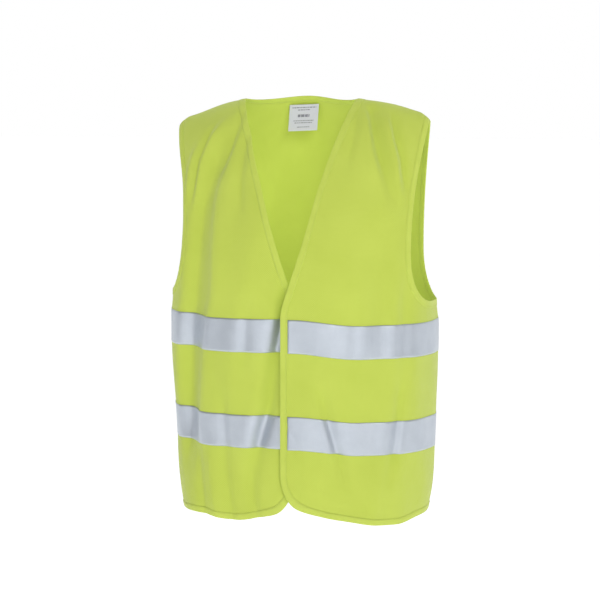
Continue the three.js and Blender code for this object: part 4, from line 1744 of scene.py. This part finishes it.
@dataclass
class CareLabel:
    """The care label: a satin square sewn by its top edge, with plain bars where print would be."""

    room: Workroom
    half_satin: float = 0.00015
    print_inner: float = 0.00016
    print_height: float = 0.00012
    lean: float = 0.05
    curl: float = 0.0022
    side_curl: float = 0.0010
    ripple: float = 0.0005
    ripple_turns: tuple[float, float] = (5.0, 2.0)
    bar_gap: float = 0.022
    bar_spread: tuple[float, float] = (0.5, 1.3)
    seed: int = 11
    rows: tuple[BarRow, ...] = (
        BarRow(0.10, 0.035, 0.10, 0.92),
        BarRow(0.19, 0.035, 0.30, 0.72),
        BarRow(0.38, 0.10, 0.30, 0.70, 0.10),
        BarRow(0.60, 0.03, 0.16, 0.86),
        BarRow(0.68, 0.03, 0.20, 0.80),
        BarRow(0.84, 0.03, 0.30, 0.72),
    )

    def _surface(self, u: Array, v: Array, over: float) -> Array:
        """Works out the hanging label.

        It hangs from its top edge, leans sideways and curls: y = y0 - curl v^2 - side curl (2u -
        1)^2 v, with a small sine ripple that grows with v.

        Args:
            u: shares of the width.
            v: shares of the height, downwards.
            over: height over the satin's middle, towards the front.

        Returns:
            The points.
        """
        low, high = (np.array(c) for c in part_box("care_label"))
        size = high - low
        x = low[0] + size[0] * u - size[0] * self.lean * v
        z = high[2] - size[2] * v - size[2] * self.lean * (1.0 - u)
        y = (low[1] + high[1]) / 2 - self.curl * v**2 - self.side_curl * (2 * u - 1) ** 2 * v
        across, down = self.ripple_turns
        y = y + self.ripple * np.sin(across * u + down * v) * v
        return np.stack([x, y - over, z], axis=-1)

    def _own(self, piece: bpy.types.Object, stuff: Stuff) -> None:
        """Gives a piece its finish and slot and puts it on the label's own body.

        Args:
            piece: the piece.
            stuff: what it is made of.
        """
        piece.data.materials.append(self.room.finishes[stuff])
        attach(piece, "care_label")
        LOG.info("%s: %d faces", piece.name, len(piece.data.polygons))

    def _bars(self) -> bpy.types.Object:
        """Makes rows of short plain bars, one row of them bolder, on the label's face.

        Returns:
            The bars, as one piece.
        """
        rng = np.random.default_rng(self.seed)
        mesh = MeshData()
        for row in self.rows:
            at = row.start
            while at < row.end:
                stop = min(at + float(rng.uniform(*self.bar_spread)) * row.usual, row.end)
                across, down = np.linspace(at, stop, 5), np.linspace(row.top, row.top + row.tall, 4)
                u, v = np.meshgrid(across, down)
                upper = self._surface(u, v, self.half_satin + self.print_height)
                lower = self._surface(u, v, self.print_inner)
                mesh.add(*slab(upper, lower, np.stack([u, v], axis=-1)))
                at = stop + self.bar_gap
        return mesh.build("care_label_bars")

    def build(self) -> None:
        u, v = np.meshgrid(np.linspace(0, 1, 40), np.linspace(0, 1, 36))
        low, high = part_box("care_label")
        wide, tall = high[0] - low[0], high[2] - low[2]
        faces = self._surface(u, v, self.half_satin), self._surface(u, v, -self.half_satin)
        mesh = MeshData()
        mesh.add(*slab(*faces, np.stack([u * wide, v * tall], axis=-1)))
        label = mesh.build("care_label_satin")
        self._own(label, Stuff.SATIN)
        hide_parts("care_label")
        bars = self._bars()
        self._own(bars, Stuff.PRINT)


# ---- Studio ---------------------------------------------------------------------------------------


@dataclass(frozen=True)
class Lamp:
    """One soft square lamp; an inner one lights the vest's inside, the others aim at its middle."""

    name: str
    place: tuple[float, float, float]
    size: float
    power: float
    inner: bool = False


@dataclass
class Studio:
    """Pale floor, soft lights and the camera."""

    azimuth: float = 10.5
    elevation: float = 6.0
    distance: float = 3.4
    view_width: float = 0.932
    aim: tuple[float, float, float] = (-0.0061, -0.0011, -0.3115)
    sensor: float = 36.0
    front_sky: float = 0.16
    sky_from: float = -0.3
    sky_to: float = 0.5
    floor_size: float = 60.0
    floor_height: float = -1.0
    inner_aim: tuple[float, float, float] = (0.0, 1.0, 0.35)
    lamps: tuple[Lamp, ...] = (
        Lamp("key_light", (1.15, -2.5, 1.0), 1.1, 31.0),
        Lamp("front_light", (-0.45, -2.8, 0.5), 1.3, 8.0),
        Lamp("top_light", (0.0, 0.2, 2.2), 1.6, 8.0),
        Lamp("inner_light", (0.0, -0.05, -0.25), 0.20, 0.17, True),
    )

    def _direction(self) -> Vector:
        """Returns the unit vector from the vest to the camera."""
        a, e = math.radians(self.azimuth), math.radians(self.elevation)
        return Vector((math.sin(a) * math.cos(e), -math.cos(a) * math.cos(e), math.sin(e)))

    def _floor(self) -> None:
        """Lays the pale floor, which glows a little so that no edge of it shows."""
        bpy.ops.mesh.primitive_plane_add(size=self.floor_size, location=(0, 0, self.floor_height))
        floor = bpy.context.object
        floor.name = "studio_floor"
        pale = bpy.data.materials.new("pale_floor")
        pale.use_nodes = True
        shader = pale.node_tree.nodes["Principled BSDF"]
        shader.inputs["Base Color"].default_value = (0.95, 0.95, 0.95, 1)
        shader.inputs["Roughness"].default_value = 0.9
        shader.inputs["Emission Color"].default_value = (1, 1, 1, 1)
        shader.inputs["Emission Strength"].default_value = 0.5
        floor.data.materials.append(pale)

    def _sky(self) -> None:
        """Makes the white sky, which lights less from the front but looks white to the camera."""
        world = bpy.data.worlds.new("studio")
        world.use_nodes = True
        tree = world.node_tree
        coords = tree.nodes.new("ShaderNodeTexCoord")
        parts = tree.nodes.new("ShaderNodeSeparateXYZ")
        fall = tree.nodes.new("ShaderNodeMapRange")
        limits = (self.sky_from, self.sky_to, self.front_sky, 1.0)
        for slot, value in enumerate(limits, start=1):
            fall.inputs[slot].default_value = value
        tree.links.new(coords.outputs["Generated"], parts.inputs[0])
        tree.links.new(parts.outputs[1], fall.inputs[0])
        path = tree.nodes.new("ShaderNodeLightPath")
        seen = tree.nodes.new("ShaderNodeMath")
        seen.operation = "MAXIMUM"
        tree.links.new(path.outputs["Is Camera Ray"], seen.inputs[0])
        tree.links.new(fall.outputs[0], seen.inputs[1])
        tree.links.new(seen.outputs[0], tree.nodes["Background"].inputs[1])
        tree.nodes["Background"].inputs[0].default_value = (1, 1, 1, 1)
        bpy.context.scene.world = world

    def _light(self, lamp: Lamp) -> None:
        """Hangs one lamp.

        Args:
            lamp: the lamp.
        """
        data = bpy.data.lights.new(lamp.name, "AREA")
        data.size, data.energy = lamp.size, lamp.power
        light = bpy.data.objects.new(lamp.name, data)
        light.location = lamp.place
        aim = Vector(self.inner_aim) if lamp.inner else Vector(self.aim) - Vector(lamp.place)
        light.visible_camera = False
        light.rotation_euler = aim.to_track_quat("-Z", "Y").to_euler()
        bpy.context.scene.collection.objects.link(light)

    def _camera(self) -> None:
        """Sets up the camera."""
        scene = bpy.context.scene
        camera = bpy.data.cameras.new("camera")
        camera.sensor_width = self.sensor
        camera.lens = self.sensor * self.distance / self.view_width
        eye = bpy.data.objects.new("camera", camera)
        back = self._direction()
        eye.location = Vector(self.aim) + back * self.distance
        eye.rotation_euler = (-back).to_track_quat("-Z", "Y").to_euler()
        scene.collection.objects.link(eye)
        scene.camera = eye

    def build(self) -> None:
        """Builds the floor, the sky, the lamps and the camera."""
        bpy.context.scene.view_settings.view_transform = "Standard"
        self._floor()
        self._sky()
        for lamp in self.lamps:
            self._light(lamp)
        self._camera()


# ---- Assembly -------------------------------------------------------------------------------------


def front_left_folds() -> list[Fold]:
    """Lists the folds of the outer front, placed by (height above the hem, length round).

    Returns:
        The folds.
    """
    return [
        Fold(((0.66, 0.100), (0.617, 0.106), (0.583, 0.102), (0.52, 0.096)), -0.0035, 0.006, 0.007),
        Fold(((0.66, 0.112), (0.62, 0.119), (0.575, 0.127), (0.50, 0.146)), 0.0040, 0.010, 0.012),
        Fold(
            ((0.67, 0.124), (0.628, 0.131), (0.577, 0.144), (0.536, 0.160), (0.47, 0.176)),
            -0.0095, 0.010, 0.012, (0.15, 0.5),
        ),
        Fold(((0.65, 0.142), (0.615, 0.151), (0.57, 0.167), (0.49, 0.188)), 0.0045, 0.009, 0.010),
        Fold(((0.66, 0.158), (0.603, 0.173), (0.566, 0.190), (0.50, 0.200)), -0.0060, 0.007, 0.009),
        Fold(((0.58, 0.075), (0.42, 0.070), (0.20, 0.085), (0.0, 0.095)), 0.0050, 0.040, 0.045),
        Fold(((0.50, 0.165), (0.38, 0.150), (0.28, 0.150), (0.10, 0.135)), -0.0040, 0.022, 0.030),
        Fold(((0.40, 0.205), (0.28, 0.197), (0.19, 0.190)), -0.0055, 0.016, 0.013, (0.4, 0.4)),
        Fold(((0.36, 0.108), (0.28, 0.102), (0.21, 0.098)), -0.0022, 0.009, 0.012, (0.4, 0.4)),
        Fold(((0.22, 0.044), (0.163, 0.059), (0.12, 0.072), (0.05, 0.088)), -0.0066, 0.011, 0.006),
        Fold(((0.24, 0.196), (0.157, 0.184), (0.118, 0.177), (0.04, 0.160)), -0.0066, 0.008, 0.014),
        Fold(((0.18, -0.012), (0.144, 0.001), (0.121, 0.014), (0.08, 0.034)), -0.0012, 0.003, 0.003),
        Fold(((0.12, 0.145), (0.06, 0.140), (-0.02, 0.132)), 0.0055, 0.024, 0.026, (0.5, 0.05)),
        Fold(((0.10, 0.040), (0.04, 0.050), (-0.02, 0.055)), -0.0030, 0.012, 0.014, (0.5, 0.05)),
    ]


def front_right_folds() -> list[Fold]:
    """Lists the folds of the inner front, placed by (height above the hem, length round).

    Returns:
        The folds.
    """
    ridge = ((0.65, -0.078), (0.60, -0.091), (0.565, -0.103), (0.535, -0.118), (0.495, -0.127))
    ridge += ((0.412, -0.127), (0.342, -0.124), (0.292, -0.138), (0.138, -0.155), (0.04, -0.154))
    hollow = ((0.64, -0.096), (0.60, -0.120), (0.552, -0.145), (0.50, -0.162), (0.41, -0.171))
    hollow += ((0.34, -0.176), (0.28, -0.186), (0.14, -0.196), (0.02, -0.192))
    return [
        Fold(ridge, 0.0050, 0.022, 0.012, (0.16, 0.2)),
        Fold(hollow, -0.0155, 0.036, 0.018, (0.16, 0.2)),
        Fold(((0.64, -0.112), (0.60, -0.142), (0.56, -0.164), (0.46, -0.186)), 0.0065, 0.014, 0.011),
        Fold(((0.63, -0.138), (0.60, -0.160), (0.56, -0.177), (0.46, -0.196)), -0.0060, 0.009, 0.010),
        Fold(((0.61, -0.168), (0.55, -0.194), (0.46, -0.206)), 0.0040, 0.011, 0.012),
        Fold(
            ((0.64, -0.072), (0.603, -0.081), (0.57, -0.089), (0.524, -0.092), (0.44, -0.084)),
            -0.0060, 0.010, 0.012, (0.35, 0.35),
        ),
        Fold(((0.66, -0.090), (0.62, -0.100), (0.58, -0.114), (0.53, -0.130)), -0.0030, 0.007, 0.006),
        Fold(
            ((0.40, 0.004), (0.26, -0.019), (0.168, -0.032), (0.121, -0.047), (0.02, -0.058)),
            -0.0100, 0.012, 0.009, (0.25, 0.3),
        ),
        Fold(
            ((0.34, -0.034), (0.26, -0.044), (0.168, -0.052), (0.121, -0.066), (0.02, -0.080)),
            0.0035, 0.014, 0.018, (0.3, 0.3),
        ),
        Fold(((0.36, -0.066), (0.27, -0.066), (0.20, -0.070)), -0.0026, 0.009, 0.012, (0.4, 0.4)),
        Fold(((0.22, -0.104), (0.142, -0.103), (0.06, -0.098)), -0.0036, 0.008, 0.012, (0.4, 0.4)),
        Fold(((0.13, -0.160), (0.06, -0.156), (-0.02, -0.150)), -0.0035, 0.008, 0.009, (0.4, 0.2)),
        Fold(((0.13, -0.130), (0.065, -0.127), (-0.02, -0.122)), 0.0035, 0.012, 0.011, (0.4, 0.2)),
        Fold(((0.12, -0.108), (0.065, -0.102), (-0.02, -0.094)), -0.0038, 0.008, 0.009, (0.4, 0.2)),
        Fold(((0.12, -0.068), (0.067, -0.060), (-0.02, -0.050)), -0.0038, 0.008, 0.009, (0.4, 0.2)),
        Fold(((0.50, -0.055), (0.38, -0.060), (0.24, -0.085), (0.10, -0.100)), 0.0035, 0.028, 0.030),
    ]


def back_folds() -> list[Fold]:
    """Lists the folds of the back, placed by (height above the hem, length round).

    Returns:
        The folds.
    """
    return [
        Fold(((0.60, 0.020), (0.45, 0.055), (0.30, 0.085), (0.12, 0.100)), 0.0050, 0.022, 0.028),
        Fold(((0.58, 0.060), (0.45, 0.095), (0.30, 0.125), (0.10, 0.140)), -0.0055, 0.016, 0.020),
        Fold(((0.58, -0.050), (0.42, -0.085), (0.26, -0.110), (0.08, -0.115)), 0.0045, 0.020, 0.026),
        Fold(((0.56, -0.085), (0.40, -0.125), (0.22, -0.150), (0.05, -0.150)), -0.0050, 0.018, 0.016),
        Fold(((0.65, 0.110), (0.60, 0.128), (0.54, 0.150), (0.46, 0.168)), -0.0050, 0.009, 0.011),
        Fold(((0.65, -0.108), (0.60, -0.122), (0.54, -0.148), (0.46, -0.170)), -0.0050, 0.011, 0.009),
        Fold(((0.65, -0.135), (0.59, -0.150), (0.50, -0.176)), 0.0040, 0.010, 0.012),
        Fold(((0.30, 0.010), (0.20, -0.010), (0.05, -0.020)), -0.0035, 0.020, 0.024, (0.4, 0.1)),
        Fold(((0.22, 0.060), (0.12, 0.052), (-0.02, 0.040)), 0.0045, 0.018, 0.022, (0.4, 0.05)),
        Fold(((0.18, -0.060), (0.10, -0.066), (-0.02, -0.070)), 0.0040, 0.016, 0.020, (0.4, 0.05)),
    ]


def shared_folds() -> tuple[Fold, ...]:
    """Lists the folds that cross the side seams, placed by the length from the front's middle.

    Returns:
        The folds.
    """
    return (
        Fold(((0.26, -0.262), (0.12, -0.260), (-0.02, -0.258)), -0.0125, 0.045, 0.060, (0.6, 0.02)),
        Fold(((0.62, -0.235), (0.47, -0.240), (0.34, -0.250)), -0.0060, 0.045, 0.060, (0.5, 0.4)),
        Fold(((0.22, 0.262), (0.10, 0.262), (-0.02, 0.262)), -0.0050, 0.050, 0.045, (0.6, 0.02)),
        Fold(((0.62, 0.235), (0.47, 0.240), (0.34, 0.250)), -0.0030, 0.050, 0.045, (0.5, 0.4)),
        Fold(((0.34, -0.215), (0.26, -0.210), (0.14, -0.215)), 0.0035, 0.012, 0.016, (0.4, 0.4)),
        Fold(((0.34, 0.300), (0.20, 0.310), (0.0, 0.300)), 0.0045, 0.022, 0.024, (0.4, 0.1)),
        Fold(((0.34, -0.310), (0.20, -0.320), (0.0, -0.310)), 0.0045, 0.022, 0.024, (0.4, 0.1)),
    )


def measured_form() -> BodyForm:
    """Reads the body form's sizes from the CAD nodes' boxes.

    The widest node is the upper tape, which lies a skin of tape, gap and half the cloth outside
    the form; the lowest is the hem binding, whose web reaches below the hem.

    Returns:
        The form.
    """
    tape_thick, tape_gap, half_cloth, binding_web = 0.0005, 0.0003, 0.0005, 0.0011
    lower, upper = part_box("back_lower_tape"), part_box("back_upper_tape")
    left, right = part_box("left_front_panel"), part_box("right_front_panel")
    hem_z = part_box("back_hem_binding")[0][2] + binding_web
    return BodyForm(
        half_width=upper[1][0] - (tape_thick + tape_gap + half_cloth),
        hem_half_width=0.200,
        underarm_half_width=0.205,
        front_depth=-(left[0][1] + right[0][1]) / 2 - half_cloth,
        back_depth=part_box("back_panel")[1][1] - half_cloth,
        hem_z=hem_z,
        neck_half_width=0.095,
        tip_x=0.195,
        underarm=0.332,
        bands=tuple((tape[0][2] - hem_z, tape[1][2] - hem_z) for tape in (lower, upper)),
        layer_gap=right[0][1] - left[0][1],
        folds={
            Side.LEFT: front_left_folds(),
            Side.RIGHT: front_right_folds(),
            Side.BACK: back_folds(),
        },
        side_folds=shared_folds(),
    )


def make_finishes() -> dict[Stuff, bpy.types.Material]:
    """Makes the vest's materials.

    Returns:
        The material of each stuff.
    """
    yellow, olive = (0.54, 0.64, 0.100, 1), (0.45, 0.55, 0.070, 1)
    # bright and deep are a little lighter than the knit's colours: on the binding this is a painted
    # highlight of its folded edge; the thread and hook tape share them
    bright, deep = (0.54, 0.64, 0.105, 1), (0.46, 0.56, 0.075, 1)
    silver, grey = (0.585, 0.63, 0.69, 1), (0.46, 0.505, 0.565, 1)
    pale_thread, dull_thread = (0.60, 0.66, 0.55, 1), (0.48, 0.54, 0.42, 1)
    white, shaded_white = (0.70, 0.70, 0.80, 1), (0.62, 0.62, 0.72, 1)
    ink, worn_ink = (0.20, 0.20, 0.26, 1), (0.30, 0.30, 0.36, 1)
    finishes = {
        Stuff.KNIT: KnitFinish("fluorescent_knit", yellow, olive),
        Stuff.BINDING: BindingFinish("binding_weave", bright, deep),
        Stuff.BAND: ReflectiveFinish("glass_bead_tape", silver, grey),
        Stuff.THREAD: TrimFinish("yellow_thread", bright, deep, 4000, 0.0001, 0.6, 0.2),
        Stuff.BAND_THREAD: TrimFinish(
            "grey_thread", pale_thread, dull_thread, 4000, 0.0001, 0.6, 0.2
        ),
        Stuff.HOOK: TrimFinish("hook_tape", bright, deep, 1400, 0.0006, 0.75),
        Stuff.LOOP: TrimFinish("loop_tape", yellow, olive, 900, 0.0009, 0.95, 0.5),
        Stuff.SATIN: TrimFinish("label_satin", white, shaded_white, 1800, 0.0001, 0.5, 0.1),
        Stuff.PRINT: TrimFinish("label_print", ink, worn_ink, 2500, 0.00005, 0.6),
    }
    return {stuff: finish.make() for stuff, finish in finishes.items()}


def main() -> None:
    """Builds the vest from its sub-assemblies, then the studio."""
    logging.basicConfig(level=logging.INFO, format="%(name)s: %(message)s")
    form = measured_form()
    cut = Cut(form, {Side.LEFT: -0.010, Side.RIGHT: -0.012})
    room = Workroom(form, cut, make_finishes())
    BackHalf(room).build()
    FrontHalf(room, Side.RIGHT, Stuff.LOOP).build()
    FrontHalf(room, Side.LEFT, Stuff.HOOK).build()
    CareLabel(room).build()
    Studio().build()


if __name__ == "__main__":
    main()
